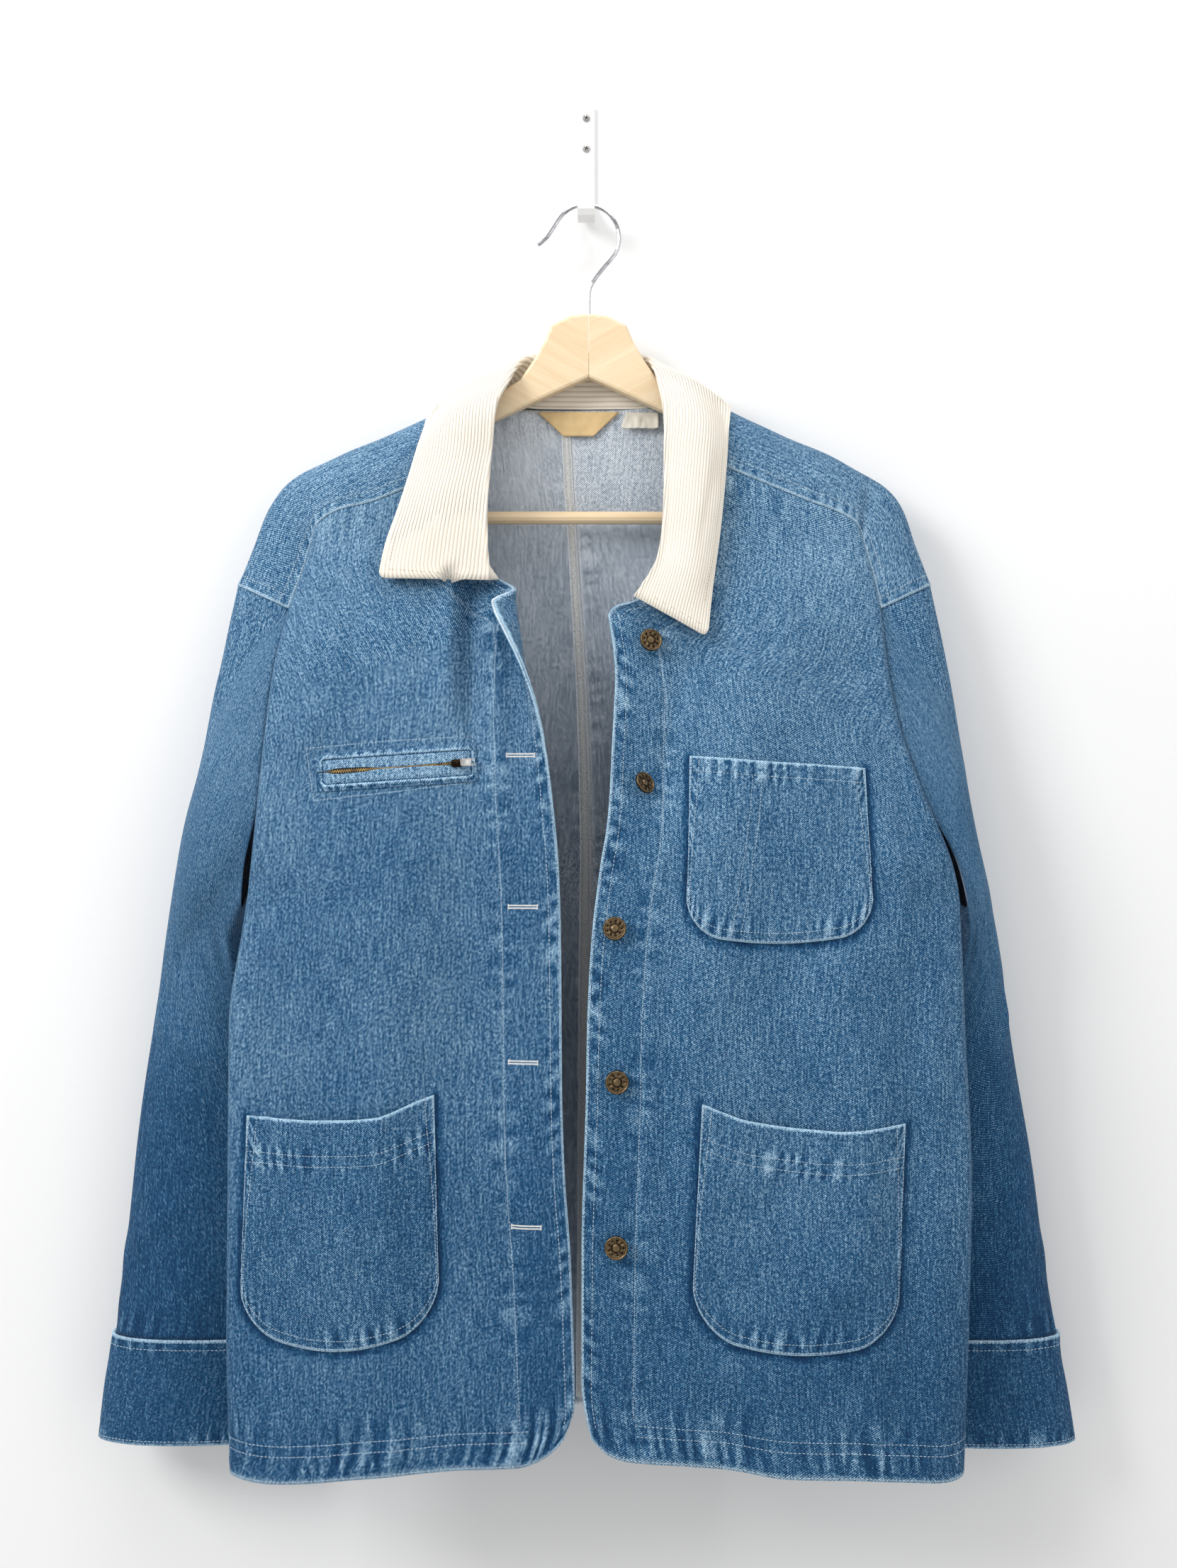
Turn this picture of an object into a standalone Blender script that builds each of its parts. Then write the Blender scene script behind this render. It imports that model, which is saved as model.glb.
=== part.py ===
"""Denim jacket with a corduroy collar, hanging open on a wooden hanger and a small wall hook.

Sizes are millimetres until a mesh is made. A place is given by three plain measures:
    out    distance sideways from the middle line, on the wearer's right or left
    depth  distance in front of the wall
    drop   distance below the middle of the wall hook's flat back
"""

import math
from typing import NamedTuple

import bmesh
import bpy
import numpy as np
from mathutils import Matrix, Vector
from mathutils.bvhtree import BVHTree
from mathutils.kdtree import KDTree

# Driving dimensions
CLOTH = 1.4
FACING_CLOTH = 1.2
CUFF_CLOTH = 2.4
COLLAR_CLOTH = 2.4
COLLAR_REST = 1.4
ROLL_REACH = 3.2
ROLL_WIDTH = 4.4
SEAM_GAP = 0.4
UNDERARM_GAP = 12.0
UNDERARM_CLEAR = {"right": 3.5, "left": 4.8}
UNDERARM_REACH = (34.0, 60.0)
UNDERARM_ANGLE = math.radians(60)
HEM_DROP = 990.0
FRONT_START = -15.0
FRONT_POWER = 2.8
CURL_WIDTH = 32.0
CURL_BEND = 18.0
FACING_SHARE = 0.184
HANGER_THICK = 11.0
HANGER_DEPTH = 31.0
HANGER_MIDDLE = 1.0
BAR_DROP = 289.0
BAR_RADIUS = 5.0
WIRE_RADIUS = 1.5
WIRE_DEPTH = 30.0
BUTTON_SIDES = 16

SIDES = {"right": -1.0, "left": 1.0}


class Level(NamedTuple):
    """The outer edge of the front at one height."""

    drop: float
    out: float


class Depths(NamedTuple):
    """How far one height of the body stands from the wall."""

    drop: float
    front: float
    side: float


class BackEdge(NamedTuple):
    """The outer edge of the back above the underarm, and how square the back's section is there."""

    drop: float
    out: float
    depth: float
    across_power: float
    depth_power: float


class Limb(NamedTuple):
    """One height of a sleeve."""

    drop: float
    outer: float
    inner: float
    depth: float
    half_depth: float


class Ridge(NamedTuple):
    """A point of the shoulder line."""

    out: float
    drop: float
    depth: float


class Share(NamedTuple):
    """The height of an edge at a share of the way round from the middle to the side."""

    share: float
    drop: float


class Curl(NamedTuple):
    """How far the front edge rolls open at one height."""

    drop: float
    degrees: float


class Fold(NamedTuple):
    """A soft ridge (or a trough, where its height is negative) down a panel."""

    out_top: float
    drop_top: float
    out_bottom: float
    drop_bottom: float
    half_width: float
    height: float


class CollarStation(NamedTuple):
    """A cut through the collar: where its seam is, its roll, and the edge of its fall."""

    piece: str
    where: float
    roll_out: float
    roll_drop: float
    roll_depth: float
    leaf_out: float
    leaf_drop: float
    leaf_depth: float
    arch: float


SIDE_LINE = {
    "right": (
        Level(304, 207), Level(332, 214), Level(362, 224), Level(407, 234), Level(464, 240),
        Level(522, 245), Level(575, 251), Level(608, 255), Level(665, 262), Level(893, 262),
        Level(990, 259),
    ),
    "left": (
        Level(304, 207), Level(332, 214), Level(362, 220), Level(407, 224), Level(447, 231),
        Level(499, 248), Level(554, 270), Level(575, 275), Level(665, 276), Level(779, 280),
        Level(893, 277), Level(990, 273),
    ),
}
BODY_DEPTHS = (
    Depths(200, 50, 36), Depths(250, 57, 44), Depths(304, 65, 52), Depths(362, 79, 62),
    Depths(407, 90, 70), Depths(450, 99, 77), Depths(522, 108, 84), Depths(550, 111, 83),
    Depths(575, 113, 78), Depths(600, 116, 84), Depths(650, 120, 93), Depths(700, 124, 97),
    Depths(800, 131, 100), Depths(900, 136, 103), Depths(990, 140, 105),
)
BACK_MIDDLE = (Level(200, 18), Level(250, 16), Level(304, 14), Level(400, 12.5), Level(500, 12), Level(990, 12))
BACK_EDGE = (
    BackEdge(200, 207, 19, 2.4, 2.4), BackEdge(304, 207, 20, 2.4, 2.4), BackEdge(332, 213, 22, 2.4, 2.4),
    BackEdge(362, 218, 23, 2.4, 2.4), BackEdge(450, 230, 24, 2.3, 2.3), BackEdge(500, 237, 25, 2.2, 2.2),
    BackEdge(530, 242, 30, 2.1, 2.0), BackEdge(552, 247, 43, 2.0, 1.6), BackEdge(566, 249, 59, 1.9, 1.4),
    BackEdge(575, 251, 78, 1.8, 1.25), BackEdge(990, 259, 105, 1.8, 1.25),
)
INNER_LINE = {
    "right": (
        Level(248, 79), Level(289, 80), Level(315, 79), Level(338, 69), Level(348, 52), Level(360, 29),
        Level(414, 27), Level(494, 24), Level(550, 20.5), Level(606, 19), Level(717, 18), Level(773, 16),
        Level(828, 12), Level(884, 10), Level(933, 9), Level(957, 17),
    ),
    "left": (
        Level(238, 64), Level(280, 63), Level(310, 61), Level(338, 53), Level(356, 38), Level(365, 15),
        Level(411, 20), Level(460, 18), Level(516, 15), Level(555, 9), Level(606, 3), Level(662, 0),
        Level(717, -1), Level(828, -4), Level(920, -4), Level(957, 3),
    ),
}
HEM_LINE = {
    "right": (
        Share(0, 957), Share(0.03, 966), Share(0.075, 973), Share(0.13, 977), Share(0.3, 979),
        Share(0.45, 983), Share(0.6, 987), Share(0.72, 991), Share(0.85, 993), Share(1, 990),
    ),
    "left": (
        Share(0, 957), Share(0.04, 968), Share(0.1, 973), Share(0.25, 976), Share(0.35, 979),
        Share(0.5, 986), Share(0.65, 988), Share(0.8, 991), Share(0.92, 994), Share(1, 990),
    ),
}
FRONT_TOP = {
    "right": (Share(0, 248), Share(0.46, 272), Share(0.64, 281), Share(0.83, 287), Share(0.93, 294), Share(1, 304)),
    "left": (Share(0, 238), Share(0.4, 262), Share(0.7, 280), Share(0.85, 288), Share(0.94, 295), Share(1, 304)),
}
BACK_TOP = (
    Share(0, 204), Share(0.17, 203.5), Share(0.319, 200), Share(0.48, 229), Share(0.68, 259),
    Share(0.87, 284), Share(1, 304),
)
BACK_HEM = (Share(0, 978), Share(0.5, 981), Share(0.8, 988), Share(1, 990))
CURLS = {
    "right": (
        Curl(338, 158), Curl(362, 150), Curl(385, 118), Curl(415, 82), Curl(453, 50), Curl(494, 28),
        Curl(550, 10), Curl(600, 0), Curl(990, 0),
    ),
    "left": (Curl(338, 0), Curl(365, 14), Curl(420, 10), Curl(500, 4), Curl(600, 0), Curl(990, 0)),
}
RIDGE = {
    "right": (
        Ridge(73, 188, 30), Ridge(100, 202, 30), Ridge(140, 221, 31), Ridge(191, 243, 32),
        Ridge(215, 254, 33), Ridge(228, 263, 34), Ridge(237, 274, 35), Ridge(244, 286, 37),
        Ridge(253, 311, 40), Ridge(261, 333, 43), Ridge(265, 343, 45),
    ),
    "left": (
        Ridge(70, 187, 30), Ridge(106, 206, 30), Ridge(148, 226, 31), Ridge(191, 245, 32),
        Ridge(209, 255, 33), Ridge(225, 265, 34), Ridge(235, 275, 35), Ridge(242, 288, 37),
        Ridge(248, 308, 40), Ridge(255, 328, 43), Ridge(260, 343, 45),
    ),
}
RIDGE_BEND = 164.0
SLEEVE = {
    "right": (
        Limb(340, 266, 214, 50, 28), Limb(392, 275, 232, 50, 30), Limb(434, 284, 240, 51, 32),
        Limb(476, 291, 246, 52, 33), Limb(523, 302, 253, 53, 33), Limb(571, 311, 259, 51, 31),
        Limb(600, 317, 258, 47, 28), Limb(630, 322, 250, 45, 27), Limb(665, 327, 238, 44, 27),
        Limb(700, 332, 226, 44, 27), Limb(762, 341, 214, 42, 26), Limb(839, 350, 216, 42, 25),
        Limb(909, 358, 236, 43, 24),
    ),
    "left": (
        Limb(340, 261, 214, 50, 28), Limb(374, 267, 224, 50, 30), Limb(434, 277, 234, 51, 32),
        Limb(493, 286, 255, 52, 33), Limb(541, 294, 273, 53, 32), Limb(575, 302, 282, 51, 31),
        Limb(600, 307, 281, 47, 28), Limb(630, 313, 272, 45, 27), Limb(665, 318, 258, 44, 27),
        Limb(702, 324, 244, 43, 27), Limb(774, 336, 228, 42, 26), Limb(839, 345, 228, 42, 25),
        Limb(909, 356, 240, 43, 24),
    ),
}
CUFF = {
    "right": (
        Limb(909, 360, 235, 43, 25), Limb(925, 362, 237, 43, 24), Limb(948, 366, 238, 43, 24), Limb(988, 371, 240, 43, 25),
    ),
    "left": (
        Limb(909, 358, 239, 43, 25), Limb(925, 359, 240, 43, 24), Limb(948, 363, 242, 43, 24), Limb(990, 370, 245, 43, 25),
    ),
}
FRONT_FOLDS = {
    "right": (
        Fold(98, 345, 92, 425, 32, -5), Fold(132, 330, 118, 640, 34, 4), Fold(208, 370, 196, 470, 30, 4),
        Fold(176, 520, 150, 860, 40, 5), Fold(92, 560, 78, 900, 34, -4), Fold(232, 600, 226, 940, 28, -4),
    ),
    "left": (
        Fold(72, 385, 66, 500, 28, -5), Fold(110, 380, 100, 700, 34, 4), Fold(206, 380, 222, 540, 30, -4),
        Fold(190, 560, 214, 900, 36, 5), Fold(150, 610, 128, 880, 36, -4), Fold(240, 640, 238, 940, 28, -4),
    ),
}
BACK_FOLDS = (
    Fold(150, 330, 120, 560, 30, 4), Fold(96, 400, 70, 860, 34, -3), Fold(170, 520, 140, 940, 36, 5),
    Fold(214, 480, 176, 640, 22, -5),
)
SLEEVE_FOLDS = (
    Fold(150, 470, 60, 560, 16, 3), Fold(40, 600, 150, 650, 15, -3), Fold(160, 660, 50, 720, 15, 3),
    Fold(210, 540, 330, 620, 16, 3), Fold(320, 640, 220, 710, 16, -3), Fold(90, 800, 170, 850, 14, 2.5),
)
COLLAR = {
    "right": (
        CollarStation("front", 341, 73, 343, 86, 155, 341, 82, 2),
        CollarStation("front", 315, 75, 310, 82, 150, 316, 78, 4),
        CollarStation("front", 287, 75, 280, 77, 142, 291, 73, 5),
        CollarStation("front", 262, 73, 251, 71, 134, 265, 69, 5),
        CollarStation("yoke", 62, 69, 210, 67, 127, 239, 62, 5),
        CollarStation("yoke", 28, 60, 187, 50, 122, 219, 46, 5),
        CollarStation("yoke", 0, 53, 170, 32, 117, 207, 30, 4),
        CollarStation("yoke", -60, 44, 162, 20, 104, 222, 12, 2),
        CollarStation("back", 36, 25, 160, 15, 58, 237, 9, 1),
        CollarStation("back", 0, 0, 159, 14, 0, 241, 8.5, 1),
    ),
    "left": (
        CollarStation("front", 353, 35, 356, 92, 88, 386, 96, 4),
        CollarStation("front", 334, 52, 328, 92, 92, 350, 86, 7),
        CollarStation("front", 300, 57, 294, 86, 98, 309, 76, 9),
        CollarStation("front", 266, 58, 260, 78, 102, 274, 69, 9),
        CollarStation("yoke", 62, 58, 216, 70, 105, 243, 61, 8),
        CollarStation("yoke", 28, 54, 188, 51, 107, 217, 46, 6),
        CollarStation("yoke", 0, 50, 171, 32, 108, 204, 30, 4),
        CollarStation("yoke", -60, 43, 162, 20, 98, 222, 12, 2),
        CollarStation("back", 36, 25, 160, 15, 58, 237, 9, 1),
        CollarStation("back", 0, 0, 159, 14, 0, 241, 8.5, 1),
    ),
}

# Rows and columns of the cloth's grids. Seams that meet share their places.
ROW_COUNT = 23
FRONT_ROWS = ((0, 957), (15, 374), (16, 362), (17, 356), (18, 350), (19, 344), (20, 338), (21, 312), (23, 248))
CORNER_DROP = 360.0
SIDE_ROWS = ((0, 990), (12, 575), (19, 362), (23, 304))
BACK_ROWS = ((0, 978), (23, 204))
UNDERARM_ROW = 12
CAP_ROW = 19
FRONT_COLUMNS = (0, 0.057, 0.0755, 0.094, 0.112, 0.131, FACING_SHARE, 0.29, 0.41, 0.54, 0.67, 0.79, 0.9, 1.0)
BACK_COLUMNS = (0, 0.106, 0.213, 0.319, 0.404, 0.489, 0.574, 0.66, 0.745, 0.83, 0.915, 1.0)
YOKE_FRONT_STATIONS = (0, FACING_SHARE, 0.29, 0.41, 0.54, 0.67, 0.79, 0.9, 1.0)
YOKE_BACK_STATIONS = BACK_COLUMNS[3:]
YOKE_TURNS = 8
SLEEVE_ROWS = 14
CUFF_ROWS = 3
COLLAR_ROWS = (1, 1, 1, 2, 2, 3, 3, 2, 1)

DENIM = (0.115, 0.225, 0.36)
CORDUROY = (0.84, 0.78, 0.68)


def smooth(knots, values, where):
    """A curve through the knots that never swings past them, read at each place in where."""
    x = np.asarray(knots, float)
    y = np.asarray(values, float)
    step = np.diff(x)
    slope = np.diff(y) / step
    tangent = np.zeros(len(x))
    same = slope[:-1] * slope[1:] > 0
    weight_a = 2 * step[1:] + step[:-1]
    weight_b = step[1:] + 2 * step[:-1]
    safe_a = np.where(same, slope[:-1], 1.0)
    safe_b = np.where(same, slope[1:], 1.0)
    tangent[1:-1] = np.where(same, (weight_a + weight_b) / (weight_a / safe_a + weight_b / safe_b), 0.0)
    tangent[0], tangent[-1] = slope[0], slope[-1]
    place = np.clip(where, x[0], x[-1])
    i = np.clip(np.searchsorted(x, place, side="right") - 1, 0, len(x) - 2)
    t = (place - x[i]) / step[i]
    return (
        y[i] * (1 + 2 * t) * (1 - t) ** 2
        + tangent[i] * step[i] * t * (1 - t) ** 2
        + y[i + 1] * t * t * (3 - 2 * t)
        + tangent[i + 1] * step[i] * t * t * (t - 1)
    )


def read(table, column, where):
    """A column of a table, read smoothly at a value of the table's first column."""
    return smooth([row[0] for row in table], [getattr(row, column) for row in table], where)


def through(points, where):
    """A smooth curve through rows of points, read at a place counted in rows."""
    points = np.asarray(points, float)
    last = len(points) - 1
    i = min(int(where), last - 1)
    t = where - i
    a, b = points[i], points[i + 1]
    before = points[i - 1] if i else 2 * a - b
    after = points[i + 2] if i + 2 <= last else 2 * b - a
    return (
        a * (1 - t) ** 2 * (1 + 2 * t)
        + b * t * t * (3 - 2 * t)
        + (b - before) / 2 * t * (1 - t) ** 2
        + (after - a) / 2 * t * t * (t - 1)
    )


def fade(value):
    """0 to 1, eased at both ends."""
    t = np.clip(value, 0.0, 1.0)
    return t * t * (3 - 2 * t)


def fold_height(folds, out, drop):
    """The height that all the folds together add at a place."""
    total = 0.0
    for fold in folds:
        along = (drop - fold.drop_top) / (fold.drop_bottom - fold.drop_top)
        middle = fold.out_top + (fold.out_bottom - fold.out_top) * along
        across = (out - middle) / fold.half_width
        ends = fade((along + 0.15) / 0.35) * fade((1.15 - along) / 0.35)
        total += fold.height * math.exp(-across * across) * ends
    return total


class Section:
    """A quarter of the body's outline at one height, from the middle line round to the side."""

    def __init__(self, start, outer, outer_depth, middle_depth, across_power, depth_power):
        angle = np.linspace(0, math.pi / 2, 181)
        self.out = start + (outer - start) * np.sin(angle) ** (2 / across_power)
        self.depth = outer_depth + (middle_depth - outer_depth) * np.cos(angle) ** (2 / depth_power)
        length = np.concatenate([[0], np.cumsum(np.hypot(np.diff(self.out), np.diff(self.depth)))])
        self.share = length / length[-1]

    def at_share(self, share):
        return np.interp(share, self.share, self.out), np.interp(share, self.share, self.depth)

    def share_at(self, out):
        return float(np.interp(out, self.out, self.share))

    def depth_at(self, out):
        return float(np.interp(out, self.out, self.depth))


def front_section(side, drop):
    depths = read(BODY_DEPTHS, "side", drop), read(BODY_DEPTHS, "front", drop)
    return Section(FRONT_START, read(SIDE_LINE[side], "out", drop), *depths, FRONT_POWER, FRONT_POWER)


def back_section(side, drop):
    edge = {name: float(read(BACK_EDGE, name, drop)) for name in BackEdge._fields}
    widened = edge["out"] + (float(read(SIDE_LINE[side], "out", drop)) - edge["out"]) * fade((drop - 530) / 45)
    sunk = edge["depth"]
    if drop > SIDE_ROWS[1][1]:
        sunk = float(read(BODY_DEPTHS, "side", drop))
    middle = read(BACK_MIDDLE, "out", drop)
    return Section(0.0, widened, sunk, middle, edge["across_power"], edge["depth_power"])


def curl(side, out, depth, drop):
    """Rolls the strip along the front edge towards the viewer and back over the front."""
    inner = float(read(INNER_LINE[side], "out", max(drop, CORNER_DROP)))
    turn = math.radians(float(read(CURLS[side], "degrees", drop)))
    start = inner + CURL_WIDTH
    past = start - out
    if past <= 0 or turn < 0.01:
        return out, depth
    radius = CURL_BEND / turn
    bent = min(past, CURL_BEND)
    straight = past - bent
    angle = bent / radius
    return (
        start - radius * math.sin(angle) - straight * math.cos(angle),
        depth + radius * (1 - math.cos(angle)) + straight * math.sin(angle),
    )


def front_point(side, column, row):
    """A place on the front, from its edge (column 0) to the side (column 1), from hem to top."""
    inner_drop = np.interp(row, *zip(*FRONT_ROWS))
    side_drop = np.interp(row, *zip(*SIDE_ROWS))
    up = row / ROW_COUNT
    low = float(read(HEM_LINE[side], "drop", column)) - (FRONT_ROWS[0][1] * (1 - column) + HEM_DROP * column)
    top_start, top_end = FRONT_TOP[side][0].drop, FRONT_TOP[side][-1].drop
    high = float(read(FRONT_TOP[side], "drop", column)) - (top_start * (1 - column) + top_end * column)
    inner_drop += (top_start - FRONT_ROWS[-1][1]) * fade((row - CAP_ROW - 1) / 3)
    drop = inner_drop * (1 - column) + side_drop * column + low * (1 - up) ** 3 + high * up**3
    inner_section = front_section(side, inner_drop)
    first = inner_section.share_at(float(read(INNER_LINE[side], "out", inner_drop)))
    out, depth = front_section(side, drop).at_share(first + (1 - first) * column)
    depth += fold_height(FRONT_FOLDS[side], out, drop) * fade((1 - column) * 6)
    out, depth = curl(side, out, depth, drop)
    return np.array([out, depth, drop])


def front_spot(side, out, drop):
    """A place on the front, by its distance out along the cloth before the edge is rolled."""
    depth = front_section(side, drop).depth_at(out)
    return np.array([*curl(side, out, depth, drop), drop])


def back_point(side, column, row):
    """A place on the back, from the centre-back seam (column 0) to the side (column 1)."""
    inner_drop = np.interp(row, *zip(*BACK_ROWS))
    side_drop = np.interp(row, *zip(*SIDE_ROWS))
    up = row / ROW_COUNT
    low = float(read(BACK_HEM, "drop", column)) - (BACK_ROWS[0][1] * (1 - column) + HEM_DROP * column)
    high = float(read(BACK_TOP, "drop", column)) - (BACK_TOP[0].drop * (1 - column) + BACK_TOP[-1].drop * column)
    drop = inner_drop * (1 - column) + side_drop * column + low * (1 - up) ** 3 + high * up**3
    out, depth = back_section(side, drop).at_share(column)
    depth += fold_height(BACK_FOLDS, out, drop) * fade((1 - column) * 5) * fade(column * 6)
    return np.array([out, depth, drop])


def ridge_point(side, length):
    """A place on the shoulder line, by its distance from the neck."""
    rows = np.array([tuple(row) for row in RIDGE[side]], float)
    run = np.concatenate([[0], np.cumsum(np.linalg.norm(np.diff(rows, axis=0), axis=1))])
    place = smooth(run, rows[:, 0], length), smooth(run, rows[:, 2], length), smooth(run, rows[:, 1], length)
    return np.array([float(value) for value in place]), run[-1]


def yoke_point(side, station, turn):
    """A place on the yoke: station counts out from the neck, turn is -90 at its back seam and 90 in front."""
    seams = len(YOKE_FRONT_STATIONS) - 1
    beyond = max(station - seams, 0.0)
    shoulder = min(station, seams)
    row = ROW_COUNT - beyond
    front_column = np.interp(shoulder, range(seams + 1), YOKE_FRONT_STATIONS)
    back_column = np.interp(shoulder, range(seams + 1), YOKE_BACK_STATIONS)
    whole = ridge_point(side, 0)[1]
    share = (front_column if beyond == 0 else 1.0) * RIDGE_BEND
    length = share + (whole - RIDGE_BEND) * beyond / (ROW_COUNT - CAP_ROW)
    crest = ridge_point(side, length)[0]
    angle = math.radians(turn)
    if turn > 0:
        seam = front_point(side, front_column, row)
        outward = math.sin(angle)
    else:
        seam = back_point(side, back_column, row)
        outward = math.sin(-angle) ** 0.8
    down = 1 - math.cos(angle)
    blend = np.array([down, outward, down])
    return crest + (seam - crest) * blend


def ring_points(side, front_rows, turns, back_rows):
    """The loop where the sleeve is sewn on, from the underarm up the front, over the yoke and down the back."""
    last = len(YOKE_FRONT_STATIONS) - 1 + ROW_COUNT - CAP_ROW
    loop = [front_point(side, 1.0, row) for row in front_rows]
    loop += [yoke_point(side, last, turn) for turn in turns]
    loop += [back_point(side, 1.0, row) for row in back_rows]
    return np.array(loop)


def oval(table, angle, drop, shape=0.88):
    """A sleeve's outline at one height. Angle 0 is its inner side, and the front comes before pi."""
    limb = {name: read(table, name, drop) for name in Limb._fields}
    middle, half = (limb["outer"] + limb["inner"]) / 2, (limb["outer"] - limb["inner"]) / 2
    across, ahead = np.cos(angle), np.sin(angle)
    out = middle - half * np.sign(across) * np.abs(across) ** shape
    depth = limb["depth"] + limb["half_depth"] * np.sign(ahead) * np.abs(ahead) ** shape
    return np.array([out, depth, drop])


def sleeve_grid(side, rows):
    """A sleeve's points, in rows from its seam down to the cuff and columns round it from the underarm.

    Also each column's angle, and how near it starts to the underarm, from 0 to 1.
    """
    climb = list(range(UNDERARM_ROW, CAP_ROW))
    turns = [90 - 180 * k / YOKE_TURNS for k in range(YOKE_TURNS + 1)]
    ring = ring_points(side, climb, turns, climb[::-1])
    lengths = np.concatenate([[0], np.cumsum(np.linalg.norm(np.diff(ring, axis=0), axis=1))])
    crest = lengths[len(climb) + YOKE_TURNS // 2]
    angles = np.where(
        lengths <= crest,
        UNDERARM_ANGLE + lengths / crest * (math.pi - UNDERARM_ANGLE),
        math.pi + (lengths - crest) / (lengths[-1] - crest) * (math.pi + UNDERARM_ANGLE),
    )
    front_reach = np.exp(-((lengths / UNDERARM_REACH[0]) ** 2))
    near = np.maximum(front_reach, np.exp(-(((lengths[-1] - lengths) / UNDERARM_REACH[1]) ** 2)))
    table = SLEEVE[side]
    bottom = table[-1].drop
    grid = []
    for k in range(rows + 1):
        down = k / rows
        line = []
        for start, angle in zip(ring, angles):
            drop = start[2] + (bottom - start[2]) * down
            drop = min(drop, bottom)
            settled = oval(table, angle, drop)
            offset = start - oval(table, angle, start[2])
            point = settled + offset * max(0.0, 1 - down / 0.4) ** 4
            crease = fold_height(SLEEVE_FOLDS, math.degrees(angle), drop) * fade(down * 5) * fade((1 - down) * 8)
            point[:2] += crease * np.array([-math.cos(angle), math.sin(angle)])
            line.append(point)
        line[-1] = line[0].copy()
        grid.append(line)
    return np.array(grid), angles, near


def placed(side, points):
    """Turns out, depth and drop into the model's own X, Y and Z, in metres."""
    points = np.asarray(points, float)
    return np.stack([points[..., 0] * SIDES[side], -points[..., 1], -points[..., 2]], axis=-1) / 1000


def grid_normals(grid):
    """Unit normals of a grid of points, from the runs of its rows and columns."""
    along = np.gradient(grid, axis=0)
    across = np.gradient(grid, axis=1)
    if np.allclose(grid[:, 0], grid[:, -1], atol=1e-6):
        across[:, 0] = across[:, -1] = grid[:, 1] - grid[:, -2]
    normal = np.cross(along, across)
    return normal / np.maximum(np.linalg.norm(normal, axis=-1, keepdims=True), 1e-12)


def outward(grid, normals, centre):
    """The normals turned to point away from a centre line, given as one point for each row."""
    away = grid - centre
    return normals * np.sign((normals * away).sum(axis=-1).mean())


def pulled_in(grid, gap, top_gap=None):
    """The grid with its open edges drawn back by a gap in metres, so that neighbours stay apart."""
    new = grid.copy()
    closed = np.allclose(grid[:, 0], grid[:, -1], atol=1e-6)
    pairs = [((0, slice(None)), (1, slice(None))), ((-1, slice(None)), (-2, slice(None)))]
    if not closed:
        pairs += [((slice(None), 0), (slice(None), 1)), ((slice(None), -1), (slice(None), -2))]
    for k, (edge, inner) in enumerate(pairs):
        run = new[inner] - new[edge]
        size = np.maximum(np.linalg.norm(run, axis=-1, keepdims=True), 1e-9)
        new[edge] = new[edge] + run / size * (top_gap if k == 0 and top_gap is not None else gap)
    return new


def material(name, colour, roughness, metallic=0.0):
    made = bpy.data.materials.new(name)
    made.use_nodes = True
    shader = made.node_tree.nodes["Principled BSDF"]
    shader.inputs["Base Color"].default_value = (*colour, 1.0)
    shader.inputs["Roughness"].default_value = roughness
    shader.inputs["Metallic"].default_value = metallic
    return made


def finish(bm, name, colour, roughness, metallic=0.0, crease=math.radians(40)):
    """Makes the named object of a closed mesh, its faces outward and its round parts smooth."""
    bmesh.ops.recalc_face_normals(bm, faces=bm.faces)
    mesh = bpy.data.meshes.new(name)
    bm.to_mesh(mesh)
    bm.free()
    mesh.materials.append(material(name, colour, roughness, metallic))
    mesh.shade_smooth()
    mesh.set_sharp_from_angle(angle=crease)
    made = bpy.data.objects.new(name, mesh)
    bpy.context.scene.collection.objects.link(made)
    return made


def cloth_wall(name, grid, normals, thickness, colour, roughness=0.9):
    """A closed wall of cloth on both sides of a grid of points, in metres."""
    rows, columns = grid.shape[0] - 1, grid.shape[1] - 1
    closed = np.allclose(grid[:, 0], grid[:, -1], atol=1e-6)
    bm = bmesh.new()
    bmesh.ops.create_grid(bm, x_segments=columns, y_segments=rows, size=0.5)
    place = bm.verts.layers.int.new("place")
    for vert in bm.verts:
        i = round((vert.co.y + 0.5) * rows)
        j = round((vert.co.x + 0.5) * columns)
        vert[place] = i * (columns + 1) + j
    half = thickness / 2000
    flat = grid.reshape(-1, 3)
    lift = normals.reshape(-1, 3) * half
    fresh = bmesh.ops.extrude_face_region(bm, geom=list(bm.faces))["geom"]
    inner = {item for item in fresh if isinstance(item, bmesh.types.BMVert)}
    for vert in bm.verts:
        k = vert[place]
        vert.co = flat[k] - lift[k] if vert in inner else flat[k] + lift[k]
    if closed:
        ends = [edge for edge in bm.edges if len(edge.link_faces) == 2]
        seam = [vert for vert in bm.verts if vert[place] % (columns + 1) in (0, columns)]
        walls = {
            face for edge in ends for face in edge.link_faces
            if all(vert in seam for vert in face.verts)
        }
        bmesh.ops.delete(bm, geom=list(walls), context="FACES")
        seam = [vert for vert in seam if vert.is_valid]
        bmesh.ops.remove_doubles(bm, verts=seam, dist=1e-6)
    return finish(bm, name, colour, roughness)


def tree_of(grids):
    """A search tree of the quads of one or more grids of points."""
    points, quads = [], []
    for grid in grids:
        rows, columns = grid.shape[:2]
        start = len(points)
        points += [tuple(point) for point in grid.reshape(-1, 3)]
        for i in range(rows - 1):
            for j in range(columns - 1):
                k = start + i * columns + j
                quads.append((k, k + 1, k + columns + 1, k + columns))
    return BVHTree.FromPolygons(points, quads)


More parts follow.
